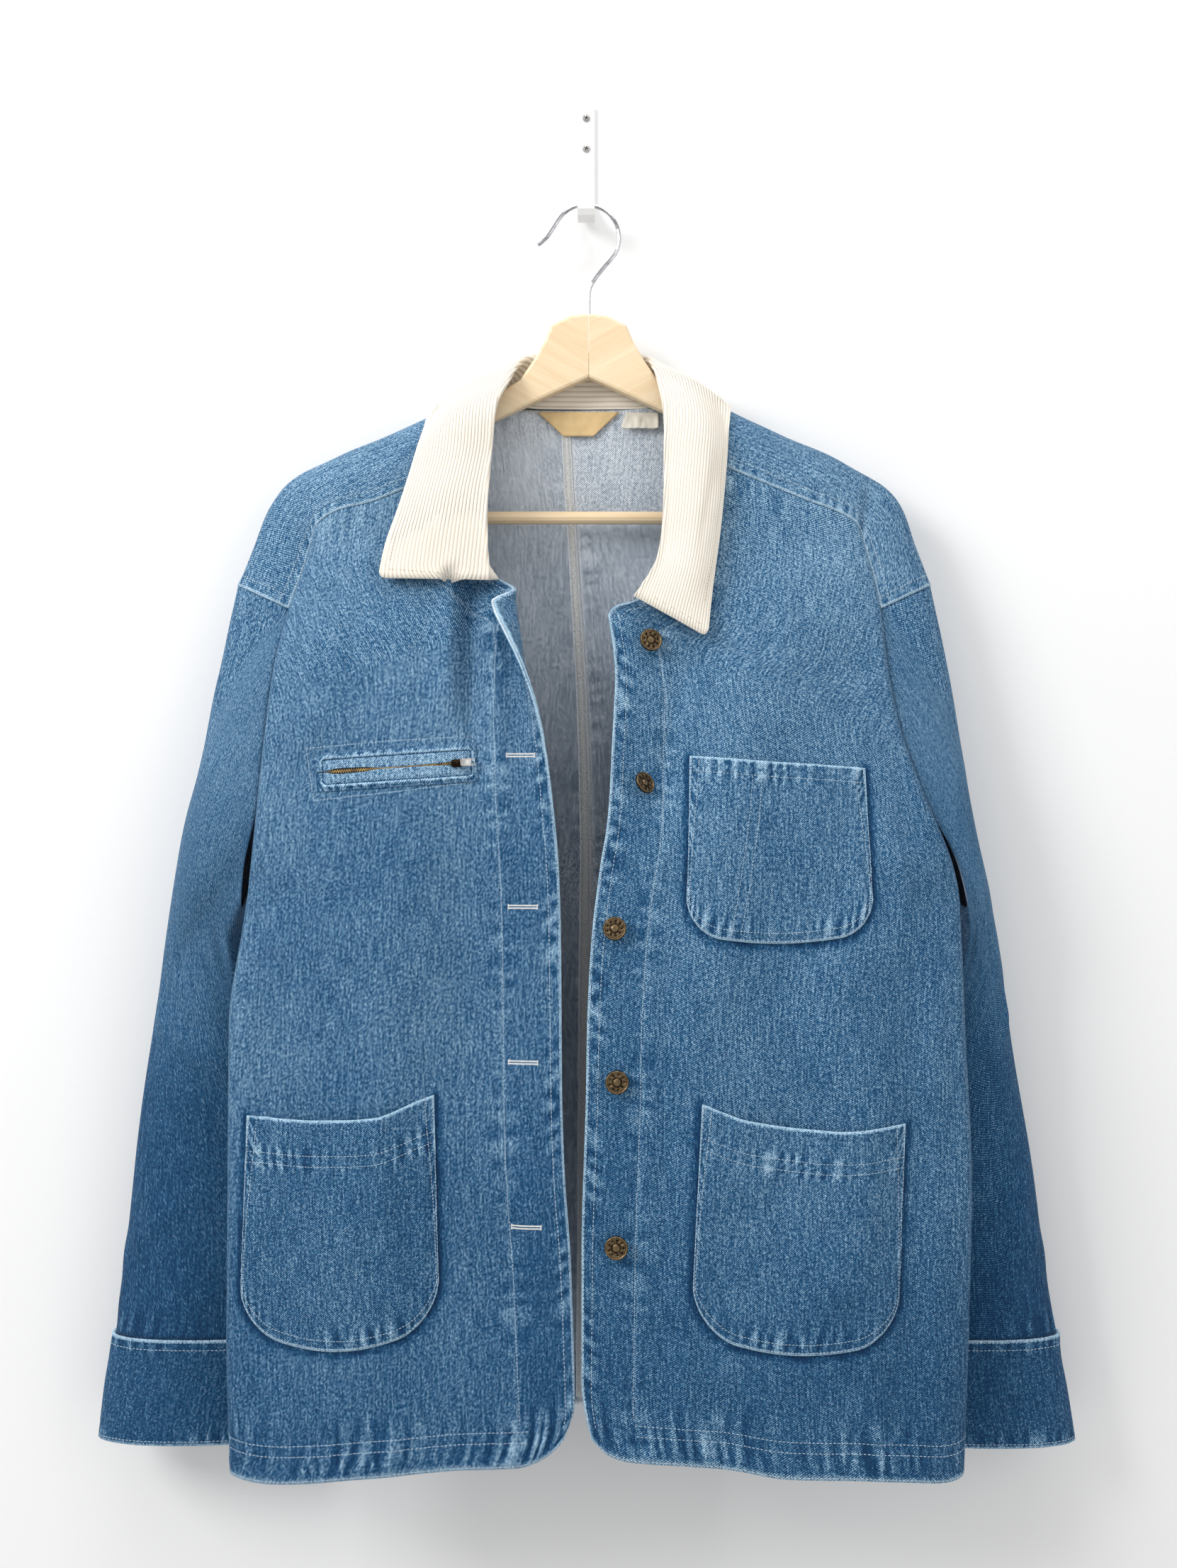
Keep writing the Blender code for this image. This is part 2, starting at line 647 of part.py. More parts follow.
def kept_off(point, tree, apart, heart):
    """The point, moved out where it is closer than apart to a surface that faces away from the heart."""
    spot, normal, _, distance = tree.find_nearest(Vector(point))
    normal = normal * (1 if normal.dot(spot - heart) > 0 else -1)
    height = (Vector(point) - spot).dot(normal)
    if distance > apart * 3 or height >= apart or abs(height) < 0.1 * distance:
        return point
    return np.array(Vector(point) + normal * (apart - height))


class Cloth:
    """Every sewn panel, kept until their normals are shared along the seams."""

    def __init__(self):
        self.panels = []

    def add(self, name, grid, normals, thickness, colour=DENIM):
        self.panels.append([name, grid, normals, thickness, colour])

    def share_normals(self):
        """Gives every point on a seam the average normal of the panels that meet there."""
        points = np.concatenate([panel[1].reshape(-1, 3) for panel in self.panels])
        normals = np.concatenate([panel[2].reshape(-1, 3) for panel in self.panels])
        tree = KDTree(len(points))
        for k, point in enumerate(points):
            tree.insert(point, k)
        tree.balance()
        kinds = np.concatenate([np.full(panel[1].size // 3, panel[0].startswith("sleeve")) for panel in self.panels])
        shared = []
        for point, own, kind in zip(points, normals, kinds):
            close = [found[1] for found in tree.find_range(point, 5e-5)]
            near = normals[close]
            shared.append(near[(kinds[close] == kind) | (near @ own > 0.35)].sum(axis=0))
        shared = np.array(shared)
        shared /= np.linalg.norm(shared, axis=1, keepdims=True)
        start = 0
        for panel in self.panels:
            count = panel[1].shape[0] * panel[1].shape[1]
            panel[2] = shared[start:start + count].reshape(panel[1].shape)
            start += count

    def front(self, side):
        grid, normals = next(panel[1:3] for panel in self.panels if panel[0] == f"front_{side}")
        return Front(side, grid, normals, tree_of([grid + normals * CLOTH / 2000]))

    def grids(self, *kinds):
        return [panel[1] for panel in self.panels if panel[0].split("_")[0] in kinds]

    def make(self):
        for name, grid, normals, thickness, colour in self.panels:
            grid = self.parted(name, grid) if name.startswith("sleeve") else pulled_in(grid, SEAM_GAP / 2000)
            cloth_wall(name, grid, normals, thickness, colour)

    def parted(self, name, grid):
        """A sleeve, drawn back from its seam and, near the underarm, held off the body."""
        body = tree_of(self.grids("front", "back", "yoke"))
        side = name.split("_")[1]
        near = sleeve_grid(side, 1)[2]
        grid = pulled_in(grid, SEAM_GAP / 2000, (SEAM_GAP / 2 + UNDERARM_GAP * near[:, None]) / 1000)
        for i in range(SLEEVE_ROWS // 2):
            for j in np.flatnonzero(near > 0.05):
                heart = Vector((0.0, -0.05, grid[i, j, 2]))
                grid[i, j] = kept_off(grid[i, j], body, UNDERARM_CLEAR[side] / 1000, heart)
        grid[:, -1] = grid[:, 0]
        return grid


def body_panels(cloth):
    """Fronts, backs, yokes and sleeves, which share their seams."""
    for side in SIDES:
        rows = range(ROW_COUNT + 1)
        front = placed(side, [[front_point(side, c, r) for c in FRONT_COLUMNS] for r in rows])
        back = placed(side, [[back_point(side, c, r) for c in BACK_COLUMNS] for r in rows])
        last = len(YOKE_FRONT_STATIONS) - 1 + ROW_COUNT - CAP_ROW
        turns = [90 - 180 * k / YOKE_TURNS for k in range(YOKE_TURNS + 1)]
        yoke = placed(side, [[yoke_point(side, s, turn) for turn in turns] for s in range(last + 1)])
        sleeve = placed(side, sleeve_grid(side, SLEEVE_ROWS)[0])
        front_normals = grid_normals(front)
        front_normals *= np.sign(-front_normals[:, -5:, 1].mean())
        back_normals = grid_normals(back)
        back_normals *= np.sign(back_normals[:, :5, 1].mean())
        yoke_normals = grid_normals(yoke)
        yoke_normals *= np.sign(yoke_normals[:, YOKE_TURNS // 2, 2].mean())
        sleeve_normals = outward(sleeve, grid_normals(sleeve), sleeve[:, :-1].mean(axis=1, keepdims=True))
        cloth.add(f"front_{side}", front, front_normals, CLOTH)
        cloth.add(f"back_{side}", back, back_normals, CLOTH)
        cloth.add(f"yoke_{side}", yoke, yoke_normals, CLOTH)
        cloth.add(f"sleeve_{side}", sleeve, sleeve_normals, CLOTH)


def facings(cloth):
    """The strips sewn behind the front edges, made from the fronts' own points moved inwards."""
    keep = FRONT_COLUMNS.index(FACING_SHARE) + 1
    rows = CAP_ROW + 2
    inward = (CLOTH / 2 + SEAM_GAP + FACING_CLOTH / 2) / 1000
    for side in SIDES:
        front = cloth.front(side)
        normals = front.normals[:rows, :keep]
        strip = pulled_in(front.grid[:rows, :keep] - normals * inward, SEAM_GAP / 2000)
        cloth_wall(f"facing_{side}", strip, normals, FACING_CLOTH, DENIM)


def cuffs():
    for side in SIDES:
        table = CUFF[side]
        angles = sleeve_grid(side, 2)[1]
        drops = np.linspace(table[0].drop + SEAM_GAP + 0.2, table[-1].drop, CUFF_ROWS + 1)
        grid = np.array([[oval(table, angle, drop) for angle in angles] for drop in drops])
        grid[:, -1] = grid[:, 0]
        grid = placed(side, grid)
        normals = grid_normals(grid)
        middle = grid[:, :-1].mean(axis=1, keepdims=True)
        normals = outward(grid, normals, middle)
        cloth_wall(f"cuff_{side}", grid, normals, CUFF_CLOTH, DENIM)


def neck_line(side):
    """The neckline from the collar's end round to the centre back, and each point's share of its length."""
    drops = np.linspace(COLLAR[side][0].where, FRONT_TOP[side][0].drop, 25)
    line = [front_spot(side, float(read(INNER_LINE[side], "out", drop)), drop) for drop in drops]
    line += [yoke_point(side, 0, turn) for turn in np.linspace(90, -90, 49)[1:]]
    for share in np.linspace(YOKE_BACK_STATIONS[0], 0, 13)[1:]:
        line.append(back_point(side, share, ROW_COUNT))
    return np.array(line)


def neck_place(side, station, line):
    """Where on the neckline, counted in its points, a cut through the collar starts."""
    if station.piece == "front":
        spot = front_spot(side, float(read(INNER_LINE[side], "out", station.where)), station.where)
    elif station.piece == "yoke":
        spot = yoke_point(side, 0, station.where)
    else:
        drop = float(read(BACK_TOP, "drop", 0.0))
        spot = np.array([station.where, line[-1][1], drop])
    return float(np.argmin(np.linalg.norm(line - spot, axis=1)))


def collar(panels):
    """Stand and fall in one wall, from the right front end round the neck to the left one."""
    lines = []
    for side in ("right", "left"):
        neckline = neck_line(side)
        places = [neck_place(side, station, neckline) for station in COLLAR[side]]
        rows = np.array([station[2:] for station in COLLAR[side]], float)
        cuts = [k + step / count for k, count in enumerate(COLLAR_ROWS) for step in range(count)]
        cuts.append(len(COLLAR_ROWS))
        line = []
        for cut in cuts:
            row = through(rows, cut)
            place = float(smooth(range(len(places)), places, cut))
            whole = min(int(place), len(neckline) - 2)
            seam = neckline[whole] + (neckline[whole + 1] - neckline[whole]) * (place - whole)
            roll, leaf = row[[0, 2, 1]], row[[3, 5, 4]]
            line.append(np.concatenate([placed(side, seam), placed(side, roll), placed(side, leaf), row[6:]]))
        lines.append(line)
    cuts = lines[0] + lines[1][::-1][1:]
    body = tree_of(panels)
    heart = Vector((0.0, -0.035, -0.27))
    apart = (CLOTH / 2 + SEAM_GAP + COLLAR_CLOTH / 2 + COLLAR_REST) / 1000
    grid = []
    for k, cut in enumerate(cuts):
        seam, roll, leaf, arch = cut[:3], cut[3:6], cut[6:9], cut[9] / 1000
        ahead = cuts[min(k + 1, len(cuts) - 1)][3:6] - cuts[max(k - 1, 0)][3:6]
        stand, fall = (seam - roll) / np.linalg.norm(seam - roll), (leaf - roll) / np.linalg.norm(leaf - roll)
        open_way = np.cross(ahead, stand + fall)
        open_way /= np.linalg.norm(open_way) * (1 if open_way @ (roll - np.array(heart)) > 0 else -1)
        side_step = max(0.0, (ROLL_WIDTH - ROLL_REACH * ((fall - stand) @ open_way)) / 2000)
        lean = abs(np.dot(stand, body.find_nearest(Vector(seam))[1]))
        start = seam - stand * (SEAM_GAP + 0.3 + lean * 1.6) / 1000
        low = roll + stand * ROLL_REACH / 1000 - open_way * side_step
        high = roll + fall * ROLL_REACH / 1000 + open_way * side_step
        rise = roll - (stand + fall) / 2 * 0.0005
        swell = open_way - fall * (open_way @ fall)
        swell /= np.linalg.norm(swell)
        line = [start, (start + low) / 2, low, rise, high]
        for share in (0.2, 0.4, 0.6, 0.8, 1.0):
            point = high + (leaf - high) * share + swell * arch * math.sin(math.pi * share)
            line.append(kept_off(point, body, apart, heart))
        grid.append(line)
    grid = np.array(grid)
    normals = grid_normals(grid)
    normals *= np.sign(normals[len(cuts) // 2, -3, 1])
    cloth_wall("collar", grid, normals, COLLAR_CLOTH, CORDUROY, 0.95)


class Front(NamedTuple):
    """One front's grid, its normals and a search tree of its outer face."""

    side: str
    grid: np.ndarray
    normals: np.ndarray
    tree: BVHTree

    def frame(self, out, drop):
        """The point of the outer face seen straight from the front, and the way the cloth faces there."""
        spot = self.hit(out, drop)
        step = 6.0
        across = self.hit(out + step, drop) - self.hit(out - step, drop)
        down = self.hit(out, drop + step) - self.hit(out, drop - step)
        normal = across.cross(down).normalized()
        return spot, normal * (1 if normal.y < 0 else -1)

    def hit(self, out, drop):
        start = Vector(placed(self.side, [out, 400, drop]))
        return self.tree.ray_cast(start, Vector((0, 1, 0)))[0]


def patch(name, front, columns, rows, place, lift, thickness=FACING_CLOTH, colour=DENIM):
    """A patch on a front: place gives out and drop, lift its height above the cloth."""
    grid, normals = [], []
    for down in rows:
        line, facing = [], []
        for across in columns:
            point, normal = front.frame(*place(across, down))
            line.append(point + normal * lift(across, down) / 1000)
            facing.append(normal)
        grid.append(line)
        normals.append(facing)
    cloth_wall(name, np.array(grid), np.array(normals), thickness, colour)


PATCH_LIFT = 1.5
POCKET_COLUMNS = 10
POCKET_ROWS = 9


class Pocket(NamedTuple):
    """A patch pocket: its corners, its round lower corners, the dips of its top edge and its swell."""

    side: str
    top_inner: tuple
    top_outer: tuple
    bottom_inner: tuple
    bottom_outer: tuple
    corner: float
    belly: float
    dip: float
    swell: float


POCKETS = {
    "pocket_chest": Pocket("left", (75, 473), (203, 482), (72, 601), (206, 600), 24, 8, 2, 1.5),
    "pocket_hip_right": Pocket("right", (110, 716), (246, 733), (106, 876), (249, 886), 30, 16, 7, 3.5),
    "pocket_hip_left": Pocket("left", (82, 722), (228, 737), (75, 882), (222, 888), 32, 14, 7, 3.5),
}


def pocket(name, shape, front):
    def place(across, down):
        """Square above, drawn in to round corners below."""
        top = np.array(shape.top_inner) * (1 - across) + np.array(shape.top_outer) * across
        bottom = np.array(shape.bottom_inner) * (1 - across) + np.array(shape.bottom_outer) * across
        top[1] += shape.dip * math.sin(math.pi * across)
        near = min(across, 1 - across)
        width = abs(shape.bottom_outer[0] - shape.bottom_inner[0])
        short = max(0.0, 1 - near * width / shape.corner)
        bottom[1] += shape.belly * math.sin(math.pi * across) - shape.corner * (1 - math.sqrt(1 - short * short))
        spot = top * (1 - down) + bottom * down
        return spot[0], spot[1]

    def lift(across, down):
        return PATCH_LIFT + 0.4 + shape.swell * (math.sin(math.pi * across) ** 0.7) * (1 - down**2)

    columns = [(1 - math.cos(math.pi * k / POCKET_COLUMNS)) / 2 for k in range(POCKET_COLUMNS + 1)]
    rows = [k / POCKET_ROWS for k in range(POCKET_ROWS + 1)]
    patch(name, front, columns, rows, place, lift)


ZIP_START = (192.0, 485.0)
ZIP_END = (86.0, 478.0)
LIP_WIDTH = 7.4
LIP_OFFSET = 2.9
TAPE_HALF = 2.4
SLIDER_PLACE = (95.3, 478.8)


def zip_line(share, offset):
    """A place beside the zip's middle line, offset downwards."""
    start, end = np.array(ZIP_START), np.array(ZIP_END)
    run = end - start
    normal = np.array([run[1], -run[0]]) / np.linalg.norm(run)
    spot = start + run * share + normal * offset
    return spot[0], spot[1]


def zip_pocket(front):
    steps = [k / 10 for k in range(11)]
    for name, way in (("zip_lip_upper", -1), ("zip_lip_lower", 1)):
        def place(across, down, way=way):
            return zip_line(across, way * (LIP_OFFSET + LIP_WIDTH * down))

        def lift(across, down):
            return PATCH_LIFT + 0.2 + 0.8 * math.sin(math.pi * down)

        patch(name, front, steps, (0, 0.33, 0.67, 1), place, lift)
    patch(
        "zip_tape", front, steps, (0, 1),
        lambda across, down: zip_line(across * 0.9, TAPE_HALF * (2 * down - 1)),
        lambda across, down: PATCH_LIFT + 0.2, colour=(0.05, 0.05, 0.06),
    )


def local_frame(front, out, drop, lift=0.0, spin=0.0, tilt=0.0):
    """A matrix whose Z stands off the front and whose X runs towards the wearer's left."""
    point, normal = front.frame(out, drop)
    upright = Vector((0, 0, 1))
    facing = normal
    right = upright.cross(facing).normalized()
    up = facing.cross(right)
    turn = Matrix((right, up, facing)).transposed().to_4x4()
    turn.translation = point + facing * lift / 1000
    return turn @ Matrix.Rotation(spin, 4, "Z") @ Matrix.Rotation(tilt, 4, "Y")


def slab(bm, outline, low, high):
    """A flat plate of a given outline, in millimetres."""
    corners = [bm.verts.new((x / 1000, y / 1000, low / 1000)) for x, y in outline]
    face = bm.faces.new(corners)
    grown = bmesh.ops.extrude_face_region(bm, geom=[face])["geom"]
    moved = [item for item in grown if isinstance(item, bmesh.types.BMVert)]
    bmesh.ops.translate(bm, verts=moved, vec=(0, 0, (high - low) / 1000))


STEEL = (0.62, 0.62, 0.64)
BRASS = (0.2, 0.15, 0.09)
SLIDER_LIFT = 2.9
SLIDER_HEIGHT = 1.8
ZIP_TURN = math.radians(3.8)
TAB_PIVOT = 3.2
TAB_LENGTH = 10.3
TAB_THICK = 1.2
TAB_DROOP = math.radians(11)


def slider_and_tab(front):
    """The slider at the closed end of the zip, and the tab that swings on it."""
    frame = local_frame(front, *SLIDER_PLACE, SLIDER_LIFT, ZIP_TURN)
    bm = bmesh.new()
    slab(bm, ((-5, -2.6), (-2, -3.8), (4, -3.2), (4, 3.2), (-2, 3.8), (-5, 2.6)), 0, SLIDER_HEIGHT)
    bmesh.ops.transform(bm, matrix=frame, verts=bm.verts)
    finish(bm, "zip_slider", STEEL, 0.35, 1.0)
    bm = bmesh.new()
    outline = [(-0.6, -2.2), (1.6, -2.9), (TAB_LENGTH - 0.8, -2.9), (TAB_LENGTH, -2.1)]
    outline += [(x, -y) for x, y in reversed(outline)]
    slab(bm, outline, -TAB_THICK / 2, TAB_THICK / 2)
    height = SLIDER_HEIGHT + SEAM_GAP + TAB_THICK / 2 + 0.15
    pivot = Matrix.Translation((TAB_PIVOT / 1000, 0, height / 1000)) @ Matrix.Rotation(TAB_DROOP, 4, "Y")
    bmesh.ops.transform(bm, matrix=frame @ pivot, verts=bm.verts)
    finish(bm, "zip_pull_tab", STEEL, 0.3, 1.0)


class ButtonPlace(NamedTuple):
    """A button on the left front, how far it is turned on its shank, and which way."""

    out: float
    drop: float
    tilt: float
    spin: float


BUTTONS = (
    ButtonPlace(45, 389, 8, 10), ButtonPlace(38, 495, 38, 25), ButtonPlace(20, 598, 6, 120),
    ButtonPlace(21, 706, 5, -40), ButtonPlace(21, 822, 4, 200),
)
BUTTON_PROFILE = (
    (0, 0), (3.2, 0), (3.2, 4.4), (7.6, 4.4), (8.5, 5.2), (8.4, 6.2), (7.6, 6.9), (6.9, 6.4),
    (4.2, 6.4), (3.6, 7.0), (2.4, 7.2), (0, 7.0),
)


def turned(profile, sides, frame, name, colour, roughness, metallic):
    bm = bmesh.new()
    verts = [bm.verts.new((r / 1000, 0, z / 1000)) for r, z in profile]
    edges = [bm.edges.new(pair) for pair in zip(verts, verts[1:])]
    bmesh.ops.spin(
        bm, geom=verts + edges, cent=(0, 0, 0), axis=(0, 0, 1), dvec=(0, 0, 0),
        angle=2 * math.pi, steps=sides, use_merge=True,
    )
    bmesh.ops.remove_doubles(bm, verts=bm.verts, dist=1e-6)
    bmesh.ops.transform(bm, matrix=frame, verts=bm.verts)
    return finish(bm, name, colour, roughness, metallic)


def buttons(front):
    for number, spot in enumerate(BUTTONS, 1):
        clear = SEAM_GAP + 3.2 * math.sin(math.radians(spot.tilt)) + 0.4
        frame = local_frame(front, spot.out, spot.drop, clear, math.radians(spot.spin), math.radians(spot.tilt))
        turned(BUTTON_PROFILE, BUTTON_SIDES, frame, f"button_{number}", BRASS, 0.4, 1.0)


class Label(NamedTuple):
    """A label by its upper corners, its lower corners, and how far its lower edge stands off the back."""

    start: float
    end: float
    low_start: float
    low_end: float
    drop: float
    height: float
    colour: tuple


LABELS = {
    "neck_label": Label(-39, 25, -18.5, 4.5, 205.2, 19, (0.72, 0.52, 0.28)),
    "care_label": Label(30, 55, 26, 55, 205.6, 13, (0.85, 0.82, 0.74)),
}
LABEL_CLOTH = 0.8
LABEL_LIFT = 1.2
LABEL_ROWS = 3
LABEL_COLUMNS = 6


def labels():
    """The bare neck label and care label inside the back, under the collar's seam."""
    behind = CLOTH / 2 + SEAM_GAP + LABEL_CLOTH / 2 + 0.3
    for name, label in LABELS.items():
        grid = []
        for i in range(LABEL_ROWS + 1):
            down = i / LABEL_ROWS
            start = label.start + (label.low_start - label.start) * down
            end = label.end + (label.low_end - label.end) * down
            drop = label.drop + label.height * down
            outs = np.linspace(start, end, LABEL_COLUMNS + 1)
            section = back_section("left", drop)
            depths = [section.depth_at(abs(out)) + behind + LABEL_LIFT * down**2 for out in outs]
            grid.append([placed("left", [out, depth, drop]) for out, depth in zip(outs, depths)])
        grid = np.array(grid)
        cloth_wall(name, grid, np.broadcast_to((0.0, -1.0, 0.0), grid.shape), LABEL_CLOTH, label.colour)


ARM_OUTLINE = (
    (0.15, 133), (14, 134.5), (29, 142), (34, 154), (42, 168), (53, 184), (72, 195), (122, 222),
    (184, 251), (204, 262), (214, 269), (218, 278), (217, 289), (214, 299), (200, 299), (200, 288),
    (199.8, 278), (192, 271), (122, 239), (72, 215), (20, 191), (0.15, 182),
)
BAR_HALF = 199.3


def hanger():
    wood = (0.80, 0.60, 0.38)
    for side, way in SIDES.items():
        bm = bmesh.new()
        front = [
            bm.verts.new(((HANGER_MIDDLE + way * out) / 1000, -(HANGER_DEPTH - HANGER_THICK / 2) / 1000, -drop / 1000))
            for out, drop in ARM_OUTLINE
        ]
        face = bm.faces.new(front)
        grown = bmesh.ops.extrude_face_region(bm, geom=[face])["geom"]
        moved = [item for item in grown if isinstance(item, bmesh.types.BMVert)]
        bmesh.ops.translate(bm, verts=moved, vec=(0, -HANGER_THICK / 1000, 0))
        bmesh.ops.recalc_face_normals(bm, faces=bm.faces)
        joint = (HANGER_MIDDLE + way * 0.16) / 1000
        rims = [
            edge for edge in bm.edges
            if abs(edge.verts[0].co.y - edge.verts[1].co.y) < 1e-6
            and max(abs(vert.co.x - joint) for vert in edge.verts) > 1e-3
        ]
        bmesh.ops.bevel(
            bm, geom=rims, offset=0.0022, offset_type="OFFSET", segments=2, profile=0.5,
            affect="EDGES", material=-1,
        )
        finish(bm, f"hanger_half_{side}", wood, 0.5)
    bm = bmesh.new()
    bmesh.ops.create_cone(
        bm, cap_ends=True, segments=12, radius1=BAR_RADIUS / 1000, radius2=BAR_RADIUS / 1000, depth=2 * BAR_HALF / 1000,
        matrix=Matrix.Translation((HANGER_MIDDLE / 1000, -HANGER_DEPTH / 1000, -BAR_DROP / 1000))
        @ Matrix.Rotation(math.pi / 2, 4, "Y"),
    )
    finish(bm, "hanger_bar", wood, 0.5)


HOOK_BEND = (-1.0, 73.5, 25.5)
HOOK_TIP = ((-38, 79), (-31, 73))
HOOK_NECK = ((14.5, 94), (6.5, 104), (2, 112), (1, 120), (1, 132.6))


def hanger_hook():
    middle, height, radius = HOOK_BEND
    bend = [
        (middle + radius * math.cos(math.radians(a)), height - radius * math.sin(math.radians(a)))
        for a in range(150, -36, -18)
    ]
    route = np.array([(x, -WIRE_DEPTH, -drop) for x, drop in (*HOOK_TIP, *bend, *HOOK_NECK)]) / 1000
    steps = 2 * (len(route) - 1)
    points = [through(route, (len(route) - 1) * k / steps) for k in range(steps + 1)]
    curve = bpy.data.curves.new("hanger_hook", "CURVE")
    curve.dimensions = "3D"
    spline = curve.splines.new("POLY")
    spline.points.add(len(points) - 1)
    for target, point in zip(spline.points, points):
        target.co = (*point, 1.0)
    curve.bevel_depth = WIRE_RADIUS / 1000
    curve.bevel_resolution = 2
    curve.use_fill_caps = True
    curve.materials.append(material("hanger_hook", STEEL, 0.2, 1.0))
    bpy.context.scene.collection.objects.link(bpy.data.objects.new("hanger_hook", curve))


HOOK_PROFILE = (
    (0, -38), (2.4, -38), (2.4, 36), (4.2, 43), (9, 48), (14, 51.3), (30, 51.3), (33.2, 48.5), (33.2, 42),
    (35.8, 42), (35.8, 52.5), (32.5, 56.5), (9, 55), (3, 48), (0, 38),
)
PLATE_HALF = 6.5
PLATE_MIDDLE = -1.0
SCREW_DROPS = {"wall_screw_upper": -29.0, "wall_screw_lower": -5.0}


def wall_hook():
    bm = bmesh.new()
    first = [
        bm.verts.new(((PLATE_MIDDLE - PLATE_HALF) / 1000, -depth / 1000, -drop / 1000)) for depth, drop in HOOK_PROFILE
    ]
    face = bm.faces.new(first)
    grown = bmesh.ops.extrude_face_region(bm, geom=[face])["geom"]
    moved = [item for item in grown if isinstance(item, bmesh.types.BMVert)]
    bmesh.ops.translate(bm, verts=moved, vec=(2 * PLATE_HALF / 1000, 0, 0))
    finish(bm, "wall_hook", (0.9, 0.9, 0.9), 0.35)
    head = ((0, 0), (2.6, 0), (2.9, 0.6), (2.0, 1.5), (0, 1.9))
    for name, drop in SCREW_DROPS.items():
        frame = Matrix.Translation((PLATE_MIDDLE / 1000, -(2.4 + SEAM_GAP) / 1000, -drop / 1000))
        turned(head, 12, frame @ Matrix.Rotation(math.pi / 2, 4, "X"), name, STEEL, 0.3, 1.0)


def main():
    for old in list(bpy.data.objects):
        bpy.data.objects.remove(old, do_unlink=True)
    cloth = Cloth()
    body_panels(cloth)
    cloth.share_normals()
    cloth.make()
    facings(cloth)
    cuffs()
    collar(cloth.grids("front", "back", "yoke"))
    fronts = {side: cloth.front(side) for side in SIDES}
    for name, shape in POCKETS.items():
        pocket(name, shape, fronts[shape.side])
    zip_pocket(fronts["right"])
    slider_and_tab(fronts["right"])
    buttons(fronts["left"])
    labels()
    hanger()
    hanger_hook()
    wall_hook()


if __name__ == "__main__":
    main()
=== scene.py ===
"""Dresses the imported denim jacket: worn denim, a corduroy collar, sewing, brass buttons, wood and steel.

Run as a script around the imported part. Sizes are millimetres until a mesh is made, and a place is
given by three plain measures:
    out    distance sideways from the middle line, on the wearer's right or left
    depth  distance in front of the wall
    drop   distance below the middle of the wall hook's flat back
"""

import math
from functools import lru_cache
from typing import NamedTuple

import bmesh
import bpy
import numpy as np
from mathutils import Matrix, Vector
from mathutils.bvhtree import BVHTree


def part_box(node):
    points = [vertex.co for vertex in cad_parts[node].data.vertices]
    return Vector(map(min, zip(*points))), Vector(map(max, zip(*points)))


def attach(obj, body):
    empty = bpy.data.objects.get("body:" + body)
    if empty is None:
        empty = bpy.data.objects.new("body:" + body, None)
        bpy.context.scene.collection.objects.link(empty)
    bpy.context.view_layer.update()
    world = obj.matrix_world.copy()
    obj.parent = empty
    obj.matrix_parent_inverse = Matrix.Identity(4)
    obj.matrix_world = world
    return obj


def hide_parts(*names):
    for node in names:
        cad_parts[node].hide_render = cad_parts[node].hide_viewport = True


bl_info = {
    "name": "Denim Jacket",
    "version": (1, 0, 0),
    "blender": (4, 5, 0),
    "location": "View3D > Sidebar > Jacket",
    "description": "Makes the cloth, sewing and fittings of a denim jacket around its packed frame",
    "category": "Add Mesh",
}

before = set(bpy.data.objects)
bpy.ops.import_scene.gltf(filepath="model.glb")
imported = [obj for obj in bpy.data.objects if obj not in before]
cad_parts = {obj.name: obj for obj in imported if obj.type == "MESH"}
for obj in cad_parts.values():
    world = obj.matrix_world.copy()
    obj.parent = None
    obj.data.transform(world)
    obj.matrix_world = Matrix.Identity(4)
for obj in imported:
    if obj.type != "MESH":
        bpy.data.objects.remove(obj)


# Driving dimensions, the same as in the part's own source
CLOTH = 1.4
CUFF_CLOTH = 2.4
COLLAR_CLOTH = 2.4
COLLAR_REST = 1.4
ROLL_REACH = 3.2
ROLL_WIDTH = 4.4
SEAM_GAP = 0.4
UNDERARM_GAP = 12.0
UNDERARM_CLEAR = {"right": 3.5, "left": 4.8}
UNDERARM_REACH = (34.0, 60.0)
UNDERARM_ANGLE = math.radians(60)
HEM_DROP = 990.0
FRONT_START = -15.0
FRONT_POWER = 2.8
CURL_WIDTH = 32.0
CURL_BEND = 18.0
FACING_SHARE = 0.184

SIDES = {"right": -1.0, "left": 1.0}


class Level(NamedTuple):
    """The outer edge of the front at one height."""

    drop: float
    out: float


class Depths(NamedTuple):
    """How far one height of the body stands from the wall."""

    drop: float
    front: float
    side: float


class BackEdge(NamedTuple):
    """The outer edge of the back above the underarm, and how square the back's section is there."""

    drop: float
    out: float
    depth: float
    across_power: float
    depth_power: float


class Limb(NamedTuple):
    """One height of a sleeve."""

    drop: float
    outer: float
    inner: float
    depth: float
    half_depth: float


class Ridge(NamedTuple):
    """A point of the shoulder line."""

    out: float
    drop: float
    depth: float


class Share(NamedTuple):
    """The height of an edge at a share of the way round from the middle to the side."""

    share: float
    drop: float


class Curl(NamedTuple):
    """How far the front edge rolls open at one height."""

    drop: float
    degrees: float


class Fold(NamedTuple):
    """A soft ridge (or a trough, where its height is negative) down a panel."""

    out_top: float
    drop_top: float
    out_bottom: float
    drop_bottom: float
    half_width: float
    height: float


class CollarStation(NamedTuple):
    """A cut through the collar: where its seam is, its roll, and the edge of its fall."""

    piece: str
    where: float
    roll_out: float
    roll_drop: float
    roll_depth: float
    leaf_out: float
    leaf_drop: float
    leaf_depth: float
    arch: float


def table_of(kind, *rows):
    """A table's rows, each with the columns of its kind."""
    return tuple(kind(*row) for row in rows)


